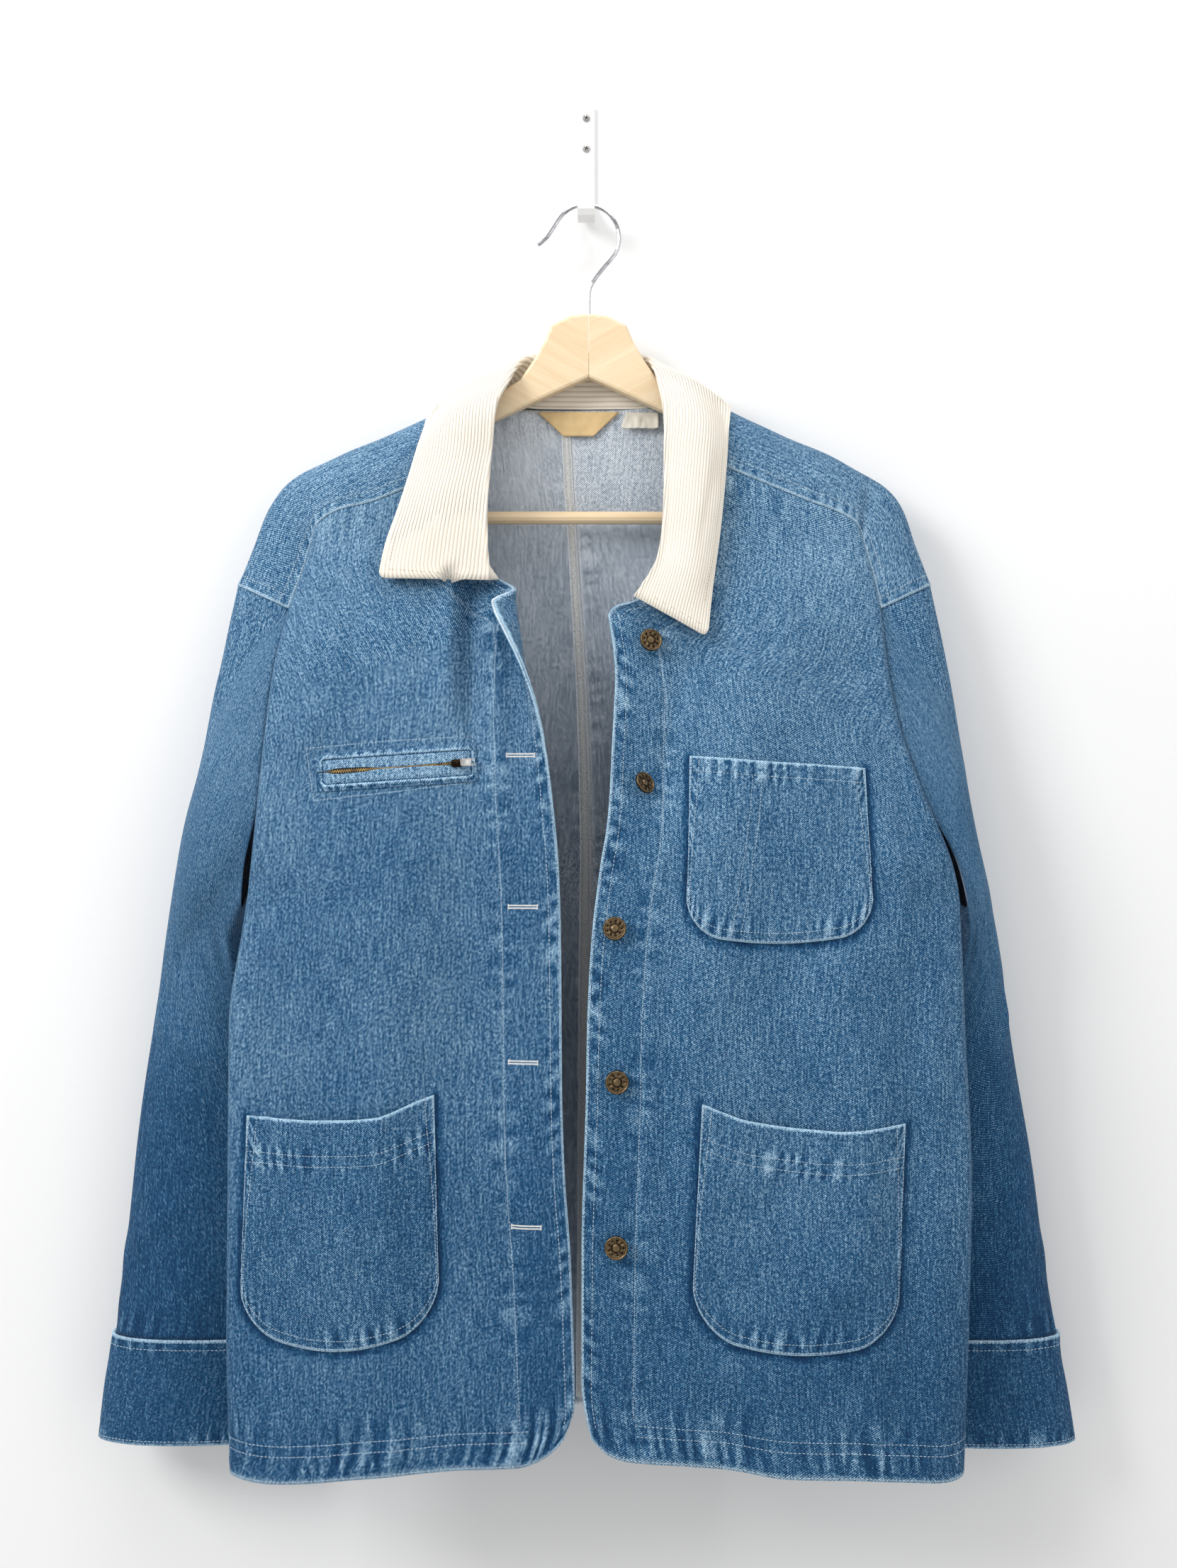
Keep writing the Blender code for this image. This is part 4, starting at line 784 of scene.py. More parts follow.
class Panel:
    """A cut piece of cloth: its points, flat measures in millimetres, relief, and wear with painted shade."""

    def __init__(self, side, grid, facing, thickness=SHELL, closed=False):
        self.side, self.grid, self.thickness, self.closed = side, grid, thickness, closed
        self.start = measured(grid, 1)
        self.end = self.start[:, -1:] - self.start
        self.low = measured(grid, 0)
        self.top = self.low[-1:] - self.low
        self.out = grid[..., 0] * 1000 * SIDES[side]
        self.drop = -grid[..., 2] * 1000
        self.way = 1.0
        self.normals = grid_normals(grid)
        hint = grid - grid[:, :-1].mean(axis=1, keepdims=True) if facing is None else np.array(facing, float)
        self.way = float(np.sign((self.normals * hint).sum()))
        self.normals = self.normals * self.way
        self.plan = False
        self.rise = np.zeros(grid.shape[:2])
        # Wear, and also painted shade: shadows round the pockets and in the zip's groove, and the corduroy's
        # grooves.
        self.wear = np.zeros(grid.shape[:2])

    def settle(self):
        """Moves the points by the relief, once all of it is known."""
        self.grid = self.grid + self.normals * self.rise[..., None] / 1000
        if self.closed:
            self.grid[:, -1] = self.grid[:, 0]
        self.normals = grid_normals(self.grid) * self.way
        return self

    @property
    def outer(self):
        return self.grid + self.normals * self.thickness / 2000

    def trace(self, measure, value, first=0.0, last=1.0, inside=False):
        """A line along the cloth at a distance from one of its edges, between two shares of its length."""
        field = getattr(self, measure)
        way = -1 if inside else 1
        face = self.grid + self.normals * way * self.thickness / 2000
        normals = self.normals * way
        if measure in ("low", "top"):
            field, face, normals = field.T, face.swapaxes(0, 1), normals.swapaxes(0, 1)
        if measure in ("end", "top"):
            field, face, normals = field[:, ::-1], face[:, ::-1], normals[:, ::-1]
        count = len(field)
        points, facing = [], []
        for i in range(int(first * (count - 1)), int(last * (count - 1)) + 1):
            k = float(np.interp(value, field[i], np.arange(field.shape[1])))
            j = min(int(k), field.shape[1] - 2)
            points.append(face[i, j] * (1 - k + j) + face[i, j + 1] * (k - j))
            facing.append(normals[i, j])
        return Line(np.array(points), np.array(facing))

    def gather(self, sewing, seed, taper=1.0, least=-0.6):
        """Draws the cloth in beside rows of sewing, which leaves it paler where it stands up."""
        for k, (distance, along, reach, pitch, height, paleness) in enumerate(sewing):
            wave = gathers(distance, along, reach, pitch, height, seed + k)
            self.rise += wave * taper
            self.wear += np.clip(wave / height, least, 1) * paleness


class Crease(NamedTuple):
    """A soft ridge, or a trough where its height is negative, from one place to another."""

    out_from: float
    drop_from: float
    out_to: float
    drop_to: float
    width: float
    height: float


def creased(creases, out, drop):
    """The height that the creases add at each place."""
    total = np.zeros_like(out)
    for crease in creases:
        run = np.array([crease.out_to - crease.out_from, crease.drop_to - crease.drop_from])
        length = np.hypot(*run)
        along = ((out - crease.out_from) * run[0] + (drop - crease.drop_from) * run[1]) / length**2
        off = ((out - crease.out_from) * run[1] - (drop - crease.drop_from) * run[0]) / length
        off = off + 0.12 * crease.width * np.sin(along * 7 + crease.out_from)
        ends = fade((along + 0.1) / 0.4) * fade((1.1 - along) / 0.4)
        total += crease.height * hollow(off, crease.width) * ends
    return total


def uneven(out, drop, seed, size, height):
    """Broad, soft unevenness, as cloth that hangs has everywhere."""
    random = np.random.default_rng(seed)
    total = np.zeros_like(out)
    for _ in range(5):
        heading = random.uniform(0, math.pi)
        pitch = size * random.uniform(0.7, 1.5)
        way = out * math.cos(heading) * 1.3 + drop * math.sin(heading) * 0.6
        total += np.sin(way * 2 * math.pi / pitch + random.uniform(0, 6.3))
    return total * height / 5


def gathers(distance, along, reach, pitch, height, seed):
    """The small gathers that a row of sewing draws in the cloth beside it."""
    random = np.random.default_rng(seed)
    phase = np.zeros_like(along)
    for length in (90, 41, 23):
        phase = phase + 1.1 * np.sin(along * 2 * math.pi / length + random.uniform(0, 6.3))
    wave = np.sin(along * 2 * math.pi / pitch + phase)
    strength = 0.6 + 0.4 * np.sin(along / 19 + random.uniform(0, 6.3))
    near = np.clip(distance / reach, 0, None)
    return height * wave * strength * near * np.exp((1 - near**2) / 2)


def hollow(distance, width):
    """1 on a line, falling away on both sides of it."""
    return np.exp(-((distance / width) ** 2))


def near_edge(distance, width):
    """1 at an edge, falling to 0 over a width."""
    return fade(1 - distance / width)


FRONT_CREASES = {
    "right": table_of(
        Crease, (89, 310, 82, 500, 7, -8.5), (70, 340, 64, 540, 8, 2.0), (106, 310, 101, 455, 8, 5.5),
        (236, 440, 200, 600, 13, -2.4), (222, 430, 176, 640, 15, 2.2), (150, 640, 128, 930, 22, 2.4),
        (184, 600, 172, 720, 16, -1.8), (92, 520, 78, 760, 14, -2.2), (206, 660, 232, 930, 18, -2.2),
        (60, 560, 56, 900, 8, -1.6), (110, 900, 150, 985, 12, 1.8), (180, 300, 150, 420, 20, 1.8),
    ),
    "left": table_of(
        Crease, (66, 400, 58, 520, 9, -3.6), (84, 395, 78, 480, 9, 1.8), (222, 400, 240, 560, 12, -2.2),
        (160, 620, 186, 720, 18, 2.4), (214, 480, 236, 620, 12, 2.2), (58, 600, 52, 900, 9, -1.8),
        (116, 560, 104, 720, 18, -1.8), (252, 620, 246, 960, 10, 2.2), (110, 900, 96, 985, 12, -1.6),
        (150, 320, 140, 460, 22, 1.8), (190, 880, 214, 985, 12, 1.8), (64, 840, 70, 960, 10, 1.8),
    ),
}
BACK_CREASES = table_of(
    Crease, (60, 320, 40, 520, 14, -2.2), (120, 300, 90, 560, 18, 2.4), (30, 460, 26, 900, 12, 1.8),
    (96, 560, 84, 940, 16, -2.4), (170, 500, 150, 760, 16, 2.2), (212, 470, 176, 620, 12, -2.4),
    (190, 700, 206, 950, 16, 2.2), (140, 720, 128, 960, 14, -2.0),
)
SLEEVE_CREASES = table_of(
    Crease, (118, 450, 70, 560, 13, 1.8), (60, 560, 130, 640, 12, -1.8), (150, 600, 70, 690, 13, 1.8),
    (110, 690, 60, 800, 12, -1.5), (150, 780, 90, 900, 13, 1.5), (240, 520, 330, 600, 14, 1.8),
    (330, 600, 230, 700, 13, -1.8), (210, 720, 300, 820, 14, 1.8), (30, 500, 20, 620, 12, -1.6),
)
SEAM_SHIFT = table_of(Level, (200, -14), (245, -12), (340, -6), (440, 0), (560, 3), (990, 1))
SHIFT_REACH = 70.0
EDGE_WEAR = 2.3
HEM_ROWS = (19.0, 26.5)
EDGE_ROWS = (1.6, 9.5)
SEAM_ROWS = (1.3, 8.5)
FACING_ROW = {"right": 45.0, "left": 41.0}


def from_outline(panel, outline):
    """How far each point of a panel, seen from the front, is from a line of places."""
    near = np.full(panel.out.shape, np.inf)
    for out, drop in outline:
        near = np.minimum(near, np.hypot(panel.out - out, panel.drop - drop))
    return near


@lru_cache(maxsize=None)
def front(side):
    """A front with its creases, the gathers of its sewing, its worn edges and a painted shadow round its
    pockets.
    """
    rows = refined(range(ROW_COUNT + 1), ROW_STEPS)
    columns = refined(FRONT_COLUMNS, COLUMN_STEPS)
    coarse = placed(side, [[front_point(side, c, r) for c in columns] for r in rows])
    panel = Panel(side, finer(finer(coarse, FINE_ROWS, 0), FINE_COLUMNS, 1), (0, -1, 0))
    seed = 10 if side == "right" else 20
    calm = fade(panel.end / 25) * fade(panel.top / 30) * fade(panel.start / 14)
    if side == "right":
        calm = calm * (1 - np.exp(-(((panel.out - 146) / 64) ** 8) - ((panel.drop - 482) / 34) ** 6))
    panel.rise += creased(FRONT_CREASES[side], panel.out, panel.drop) * calm
    panel.rise += uneven(panel.out, panel.drop, seed, 95, 1.6) * calm
    panel.rise += uneven(panel.out, panel.drop, seed + 1, 38, 0.5) * calm
    from_row = panel.start - FACING_ROW[side]
    sewing = (
        (panel.start, panel.low, 6.5, 12.5, 0.7, 0.62),
        (np.abs(from_row), panel.low, 4.5, 15.0, 0.3, 0.3),
        (panel.low, panel.start, 14.0, 11.0, 0.9, 0.66),
        (np.abs(panel.low - HEM_ROWS[1]), panel.start, 7.0, 12.5, 0.4, 0.36),
        (panel.top, panel.start, 7.0, 15.0, 0.25, 0.2),
    )
    panel.gather(sewing, seed + 2, fade(panel.end / 6))
    panel.rise += 0.45 * near_edge(panel.start, 3.5) - 0.35 * hollow(from_row, 1.6)
    panel.wear += near_edge(panel.start, EDGE_WEAR) + near_edge(panel.low, EDGE_WEAR)
    panel.wear -= 0.06 * fade(-from_row / 4) * (1 - near_edge(panel.start, EDGE_WEAR))
    # Painted shadow: a thin dark band on the front just outside each pocket's edge, where the pocket casts
    # shade.
    for name, shape in POCKETS.items():
        if shape.side == side:
            panel.wear -= 0.75 * hollow(from_outline(panel, pocket_outline(name)), 2.6)
    panel.wear += 0.16 * hollow(from_row - 1.2, 1.6)
    return panel.settle()


@lru_cache(maxsize=None)
def back(side):
    """Half of the back, its centre seam shifted as it hangs."""
    rows = refined(range(ROW_COUNT + 1), ROW_STEPS)
    columns = refined(BACK_COLUMNS, COLUMN_STEPS)
    coarse = placed(side, [[back_point(side, c, r) for c in columns] for r in rows])
    shift = read(SEAM_SHIFT, "out", -coarse[..., 2] * 1000) / 1000
    coarse[..., 0] += shift * np.exp(-((coarse[..., 0] * 1000 / SHIFT_REACH) ** 2))
    panel = Panel(side, finer(finer(coarse, FINE_ROWS, 0), 2, 1), (0, 1, 0))
    seed = 30 if side == "right" else 40
    calm = fade(panel.end / 25) * fade(panel.top / 25) * fade(panel.start / 25)
    panel.rise += creased(BACK_CREASES, panel.out * (1.0 if side == "right" else 1.06), panel.drop) * calm
    panel.rise += uneven(panel.out, panel.drop, seed, 90, 1.8) * calm
    panel.rise += uneven(panel.out, panel.drop, seed + 1, 40, 0.5) * calm
    sewing = (
        (panel.start, panel.low, 6.0, 14.0, 0.4, 0.35), (panel.low, panel.start, 12.0, 11.0, 0.6, 0.35),
        (panel.top, panel.start, 8.0, 14.0, 0.3, 0.35),
    )
    panel.gather(sewing, seed + 2, fade(panel.end / 6))
    panel.wear += near_edge(panel.low, EDGE_WEAR) + 0.6 * near_edge(panel.start, EDGE_WEAR)
    return panel.settle()


@lru_cache(maxsize=None)
def yoke(side):
    """The saddle over the shoulder, lapped over the pieces that it is sewn to."""
    last = len(YOKE_FRONT_STATIONS) - 1 + ROW_COUNT - CAP_ROW
    turns = refined([90 - 180 * k / YOKE_TURNS for k in range(YOKE_TURNS + 1)], TURN_STEPS)
    stations = refined(range(last + 1), TURN_STEPS)
    coarse = placed(side, [[yoke_point(side, s, turn) for turn in turns] for s in stations])
    panel = Panel(side, finer(finer(coarse, 4, 0), 4, 1), (0, 0, 1))
    seams = np.minimum(panel.start, panel.end)
    panel.rise += 0.7 * near_edge(seams, 5) + 0.7 * near_edge(panel.top, 5)
    panel.rise += uneven(panel.out, panel.start, 51, 60, 0.8) * fade(seams / 20) * fade(panel.low / 25)
    sewing = ((panel.start, panel.low), (panel.end, panel.low), (panel.top, panel.start))
    panel.gather([(*edge, 4.0, 9.0, 0.35, 0.45) for edge in sewing], 52)
    panel.wear += near_edge(seams, EDGE_WEAR) + near_edge(panel.top, EDGE_WEAR)
    return panel.settle()


@lru_cache(maxsize=None)
def sleeve(side):
    """A sleeve, drawn back from its seam and held off the body near the underarm."""
    grid, angles, near = sleeve_grid(side, 2 * SLEEVE_ROWS)
    grid = placed(side, grid)
    body = tree_of([kind(side).grid[::3, ::3] for kind in (front, back)])
    gap = np.minimum(1.0, near[:, None] * 2) * UNDERARM_GAP / 1000
    run = grid[1] - grid[0]
    grid[0] += run / np.linalg.norm(run, axis=-1, keepdims=True) * gap
    for i in range(SLEEVE_ROWS):
        for j in np.flatnonzero(near > 0.05):
            heart = Vector((0.0, -0.05, grid[i, j, 2]))
            grid[i, j] = kept_off(grid[i, j], body, UNDERARM_CLEAR[side] / 1000, heart)
    grid[:, -1] = grid[:, 0]
    panel = Panel(side, finer(finer(grid, 4, 0), SLEEVE_FINE, 1, True), None, closed=True)
    turn = np.broadcast_to(np.degrees(refined(angles, SLEEVE_FINE)), panel.drop.shape)
    calm = fade(panel.low / 40) * fade(panel.top / 25) * (1 - refined(near, SLEEVE_FINE)[None, :])
    for offset in (0, -360):
        panel.rise += creased(SLEEVE_CREASES, turn + offset, panel.drop) * calm
    panel.rise += uneven(turn, panel.drop, 61 if side == "right" else 62, 80, 1.4) * calm
    panel.gather(((panel.top, panel.start, 8.0, 13.0, 0.8, 0.35),), 63)
    # Darker towards the cuff.
    panel.wear -= 0.04 + 0.2 * fade((panel.drop - 480) / 380)
    return panel.settle()


@lru_cache(maxsize=None)
def cuff(side):
    """A cuff, two cloths thick, over the sleeve's end."""
    table = CUFF[side]
    angles = refined(sleeve_grid(side, 2)[1], 4)
    drops = np.linspace(table[-1].drop, table[0].drop + SEAM_GAP, 9)
    grid = np.array([[oval(table, angle, drop) for angle in angles] for drop in drops])
    grid[:, -1] = grid[:, 0]
    panel = Panel(side, finer(placed(side, grid), 4, 0), None, CUFF_CLOTH, closed=True)
    seed = 71 if side == "right" else 75
    sewing = (
        (panel.top, panel.start, 5.0, 10.0, 0.5, 0.5), (panel.low, panel.start, 5.0, 12.0, 0.4, 0.5),
    )
    panel.gather(sewing, seed)
    panel.wear -= 0.12
    panel.rise += uneven(panel.start, panel.drop, seed + 3, 70, 0.9) * fade(panel.top / 15)
    panel.wear += 1.2 * near_edge(panel.low, EDGE_WEAR) + 1.2 * near_edge(panel.top, EDGE_WEAR)
    return panel.settle()


@lru_cache(maxsize=None)
def facing(side):
    """The strip sewn behind a front edge, its points moved inwards from the front's."""
    whole = front(side)
    columns = int(np.argmin(np.abs(whole.start[len(whole.start) // 3] - FACING_ROW[side] - 4)))
    rows = (CAP_ROW + 2) * ROW_STEPS * FINE_ROWS
    inward = (SHELL + SEAM_GAP / 2) / 1000
    grid = whole.grid[4:rows, 1:columns] - whole.normals[4:rows, 1:columns] * inward
    panel = Panel(side, grid, (0, -1, 0))
    panel.wear += near_edge(panel.start, 4.0)
    return panel


COLLAR_RIB = 2.8
COLLAR_CORNER = 6.0
COLLAR_STEPS = 3
RIB_HEIGHT = 0.4
RIB_CELLS = 5
COLLAR_CREASES = table_of(
    Crease, (96, 250, 78, 330, 5, -1.3), (80, 240, 104, 300, 7, 1.2), (112, 290, 84, 345, 5, 0.9),
    (70, 280, 74, 345, 4, -1.1), (64, 240, 80, 265, 5, -0.9),
)


def rounded_corner(panel, reach):
    """Draws in a leaf's two end corners to a radius."""
    past_leaf = np.clip(reach - panel.end, 0, None)
    to_leaf = np.gradient(panel.grid, axis=1)
    to_leaf /= np.linalg.norm(to_leaf, axis=-1, keepdims=True)
    for measure, way in ((panel.low, -1), (panel.top, 1)):
        past_end = np.clip(reach - measure, 0, None)
        to_end = np.gradient(panel.grid, axis=0) * way
        to_end /= np.linalg.norm(to_end, axis=-1, keepdims=True)
        drawn = np.maximum(past_leaf, past_end) / np.maximum(np.hypot(past_leaf, past_end), 1e-6) - 1
        drawn = np.where((past_leaf > 0) & (past_end > 0), drawn, 0)[..., None] / 1000
        panel.grid = panel.grid + (to_leaf * past_leaf[..., None] + to_end * past_end[..., None]) * drawn


def collar_cuts():
    """Cuts through the collar from the right front end round the neck to the left one."""
    lines = []
    for side in ("right", "left"):
        neckline = neck_line(side)
        places = [neck_place(side, station, neckline) for station in COLLAR[side]]
        rows = np.array([station[2:] for station in COLLAR[side]], float)
        counts = [count * COLLAR_STEPS for count in COLLAR_ROWS]
        cuts = [k + step / count for k, count in enumerate(counts) for step in range(count)]
        cuts.append(len(COLLAR_ROWS))
        line = []
        for cut in cuts:
            row = through(rows, cut)
            place = float(smooth(range(len(places)), places, cut))
            whole = min(int(place), len(neckline) - 2)
            seam = neckline[whole] + (neckline[whole + 1] - neckline[whole]) * (place - whole)
            roll, leaf = row[[0, 2, 1]], row[[3, 5, 4]]
            line.append(np.concatenate([placed(side, seam), placed(side, roll), placed(side, leaf), row[6:]]))
        lines.append(line)
    return lines[0] + lines[1][::-1][1:]


@lru_cache(maxsize=None)
def collar():
    """The collar's wall with its ribs, and the ribs' crowns in its wear values."""
    cuts = collar_cuts()
    body = tree_of([kind(side).grid[::4, ::4] for side in SIDES for kind in (front, back, yoke)])
    heart = Vector((0.0, -0.035, -0.27))
    apart = (CLOTH / 2 + SEAM_GAP + COLLAR_CLOTH / 2 + COLLAR_REST) / 1000
    grid = []
    for k, cut in enumerate(cuts):
        seam, roll, leaf, arch = cut[:3], cut[3:6], cut[6:9], cut[9] / 1000
        ahead = cuts[min(k + 1, len(cuts) - 1)][3:6] - cuts[max(k - 1, 0)][3:6]
        stand, fall = (seam - roll) / np.linalg.norm(seam - roll), (leaf - roll) / np.linalg.norm(leaf - roll)
        open_way = np.cross(ahead, stand + fall)
        open_way /= np.linalg.norm(open_way) * (1 if open_way @ (roll - np.array(heart)) > 0 else -1)
        side_step = max(0.0, (ROLL_WIDTH - ROLL_REACH * ((fall - stand) @ open_way)) / 2000)
        lean = abs(np.dot(stand, body.find_nearest(Vector(seam))[1]))
        start = seam - stand * (SEAM_GAP + 0.3 + lean * 1.6) / 1000
        low = roll + stand * ROLL_REACH / 1000 - open_way * side_step
        high = roll + fall * ROLL_REACH / 1000 + open_way * side_step
        rise = roll - (stand + fall) / 2 * 0.0005
        swell = open_way - fall * (open_way @ fall)
        swell /= np.linalg.norm(swell)
        line = [start, (start + low) / 2, low, rise, high]
        for share in np.arange(1, 11) / 10:
            point = high + (leaf - high) * share + swell * arch * math.sin(math.pi * share)
            line.append(kept_off(point, body, apart, heart))
        grid.append(line)
    grid = np.array(grid)
    grid = finer(finer(grid, 2, 0), 4, 1)
    run = measured(grid, 1)
    ribs = int(np.median(run[:, -1]) / COLLAR_RIB)
    places = np.linspace(0, 1, ribs * RIB_CELLS + 1)
    dense = np.empty((grid.shape[0], len(places), 3))
    for i in range(grid.shape[0]):
        shares = run[i] / run[i, -1]
        for axis in range(3):
            dense[i, :, axis] = np.interp(places, shares, grid[i, :, axis])
    panel = Panel("left", dense, (0, 0, 0), COLLAR_CLOTH - 2 * RIB_HEIGHT)
    middle = panel.grid.shape[0] // 2
    panel.way = float(np.sign(grid_normals(panel.grid)[middle, -20, 1]))
    panel.normals = grid_normals(panel.grid) * panel.way
    wave = np.cos(np.broadcast_to(places, panel.start.shape) * ribs * 2 * math.pi)
    margin = fade(panel.end / 2.5)
    folds = uneven(panel.start, panel.low, 81, 70, 1.5) * fade(panel.end / 30) * fade((panel.start - 50) / 30)
    panel.rise += folds * fade(panel.top / 30) * fade(panel.low / 30)
    shown_leaf = fade((panel.start - 45) / 10) * fade(panel.end / 8)
    panel.rise += creased(COLLAR_CREASES, np.abs(panel.out), panel.drop) * shown_leaf
    rounded_corner(panel, COLLAR_CORNER)
    panel.rise += RIB_HEIGHT * wave * margin
    # Painted shade: these wear values mark the ribs' crowns, and the corduroy paints the grooves between them
    # darker.
    panel.wear = (0.5 + 0.5 * wave) * margin + (1 - margin) * 0.8
    return panel.settle()


def grid_object(name, panel, materials, body="jacket"):
    """The named mesh of a panel, its outer face outward, with its weave's map and its wear and painted shade.
    """
    rows, columns = panel.grid.shape[0] - 1, panel.grid.shape[1] - 1
    bm = bmesh.new()
    bmesh.ops.create_grid(bm, x_segments=columns, y_segments=rows, size=0.5)
    mesh = bpy.data.meshes.new(name)
    bm.to_mesh(mesh)
    bm.free()
    flat = np.zeros(len(mesh.vertices) * 3)
    mesh.vertices.foreach_get("co", flat)
    flat = flat.reshape(-1, 3)
    i = np.rint((flat[:, 1] + 0.5) * rows).astype(int)
    j = np.rint((flat[:, 0] + 0.5) * columns).astype(int)
    mesh.vertices.foreach_set("co", panel.grid[i, j].reshape(-1))
    wear = mesh.attributes.new("wear", "FLOAT", "POINT")
    wear.data.foreach_set("value", np.clip(panel.wear[i, j], -1, 2))
    corner = np.zeros(len(mesh.loops), int)
    mesh.loops.foreach_get("vertex_index", corner)
    seen = 1 if panel.normals[..., 1].mean() < 0 else -1
    across = panel.out if panel.plan else panel.start - panel.start[:, columns // 2, None]
    down = -panel.drop if panel.plan else panel.low - panel.low[rows // 2]
    weave = np.stack([across * SIDES[panel.side] * seen, down], axis=-1) / 1000
    mesh.uv_layers.new(name="Weave").data.foreach_set("uv", weave[i, j][corner].reshape(-1))
    mesh.update()
    face = mesh.polygons[(rows // 2) * columns + columns // 2]
    want = Vector(panel.normals[rows // 2, columns // 2])
    if face.normal.dot(want) < 0:
        mesh.flip_normals()
    if panel.closed:
        bm = bmesh.new()
        bm.from_mesh(mesh)
        rim = [vert for vert in bm.verts if vert.is_boundary]
        bmesh.ops.remove_doubles(bm, verts=rim, dist=1e-7)
        bm.to_mesh(mesh)
        bm.free()
    return shown(name, mesh, materials, body)


def shown(name, mesh, materials, body="jacket", crease=None):
    """The finished object of a mesh, which rides on a body of the frame."""
    for made in materials:
        mesh.materials.append(made)
    mesh.shade_smooth()
    if crease is not None:
        mesh.set_sharp_from_angle(angle=math.radians(crease))
    thing = bpy.data.objects.new(name, mesh)
    bpy.context.scene.collection.objects.link(thing)
    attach(thing, body)
    return thing


def cloth_piece(name, panel, materials, nodes=None):
    """A panel given its thickness, standing for its CAD nodes as a sheet of its own flat size."""
    thing = grid_object(f"{name}_cloth", panel, materials)
    wall = thing.modifiers.new("Thickness", "SOLIDIFY")
    wall.thickness = panel.thickness / 1000
    wall.offset = 0.0
    wall.material_offset = 1
    wall.material_offset_rim = 0
    nodes = nodes or (name,)
    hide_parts(*nodes)
    return thing


def from_bmesh(name, bm, materials, body="jacket", crease=40):
    """The finished object of a mesh that is still being put together."""
    mesh = bpy.data.meshes.new(name)
    bm.to_mesh(mesh)
    bm.free()
    return shown(name, mesh, materials, body, crease)


class Thread(NamedTuple):
    """How a row is sewn: the stitches' pitch, their share of it, half width and lift, in millimetres."""

    pitch: float
    share: float
    half: float
    lift: float
    lean: float = 0.0


TOPSTITCH = Thread(3.0, 0.82, 0.33, 0.08)
FINE_STITCH = Thread(2.5, 0.82, 0.29, 0.08)
OVERLOCK = Thread(1.3, 1.0, 0.26, 0.15)


def merged(whole, part):
    """Adds a small mesh to a whole one and clears it away."""
    scrap = bpy.data.meshes.new("scrap")
    part.to_mesh(scrap)
    part.free()
    whole.from_mesh(scrap)
    bpy.data.meshes.remove(scrap)


def lay_grain(row, middle, along, side, normal, half, high):
    """Adds one small rounded grain of thread, half sunk in the cloth."""
    turn = Matrix((along.normalized(), side, normal)).transposed().to_4x4()
    turn.translation = middle
    grain = Matrix.Diagonal((along.length / 2, half / 1000, high / 1000, 1.0))
    bmesh.ops.create_icosphere(row, subdivisions=1, radius=1.0, matrix=turn @ grain)


def sewn(whole, line, thread):
    """Adds a row of stitches along a line."""
    points, normals = line
    run = run_of(points) * 1000
    count = max(1, int(run[-1] / thread.pitch))
    row = bmesh.new()
    for k in range(count):
        ends = np.array([k, k + thread.share]) * run[-1] / count
        a, b = (Vector([np.interp(end, run, points[:, axis]) for axis in range(3)]) for end in ends)
        at = int(np.interp(ends.mean(), run, np.arange(len(run))))
        normal = Vector(normals[at])
        along = b - a
        if along.length < 1e-7:
            continue
        side = normal.cross(along).normalized()
        along = along + side * thread.lean * (1 if k % 2 else -1) / 1000
        side = normal.cross(along).normalized()
        middle = (a + b) / 2 + normal * thread.lift / 1000
        lay_grain(row, middle, along, side, normal, thread.half, thread.half * 0.8)
    merged(whole, row)


class Value:
    """A socket that sums and products can be written with: each adds its Math node."""

    def __init__(self, look, socket):
        self.look, self.socket = look, socket

    def _math(self, operation, first, second):
        return self.look.node("ShaderNodeMath", {"operation": operation}, {0: first, 1: second})

    def __add__(self, other):
        return self._math("ADD", self, other)

    def __radd__(self, other):
        return self._math("ADD", other, self)

    def __sub__(self, other):
        return self._math("SUBTRACT", self, other)

    def __rsub__(self, other):
        return self._math("SUBTRACT", other, self)

    def __mul__(self, other):
        return self._math("MULTIPLY", self, other)

    def __rmul__(self, other):
        return self._math("MULTIPLY", other, self)

    def __truediv__(self, other):
        return self._math("DIVIDE", self, other)

    def __rtruediv__(self, other):
        return self._math("DIVIDE", other, self)

    def __pow__(self, other):
        return self._math("POWER", self, other)

    def __rpow__(self, other):
        return self._math("POWER", other, self)

    def __neg__(self):
        return self._math("MULTIPLY", self, -1.0)


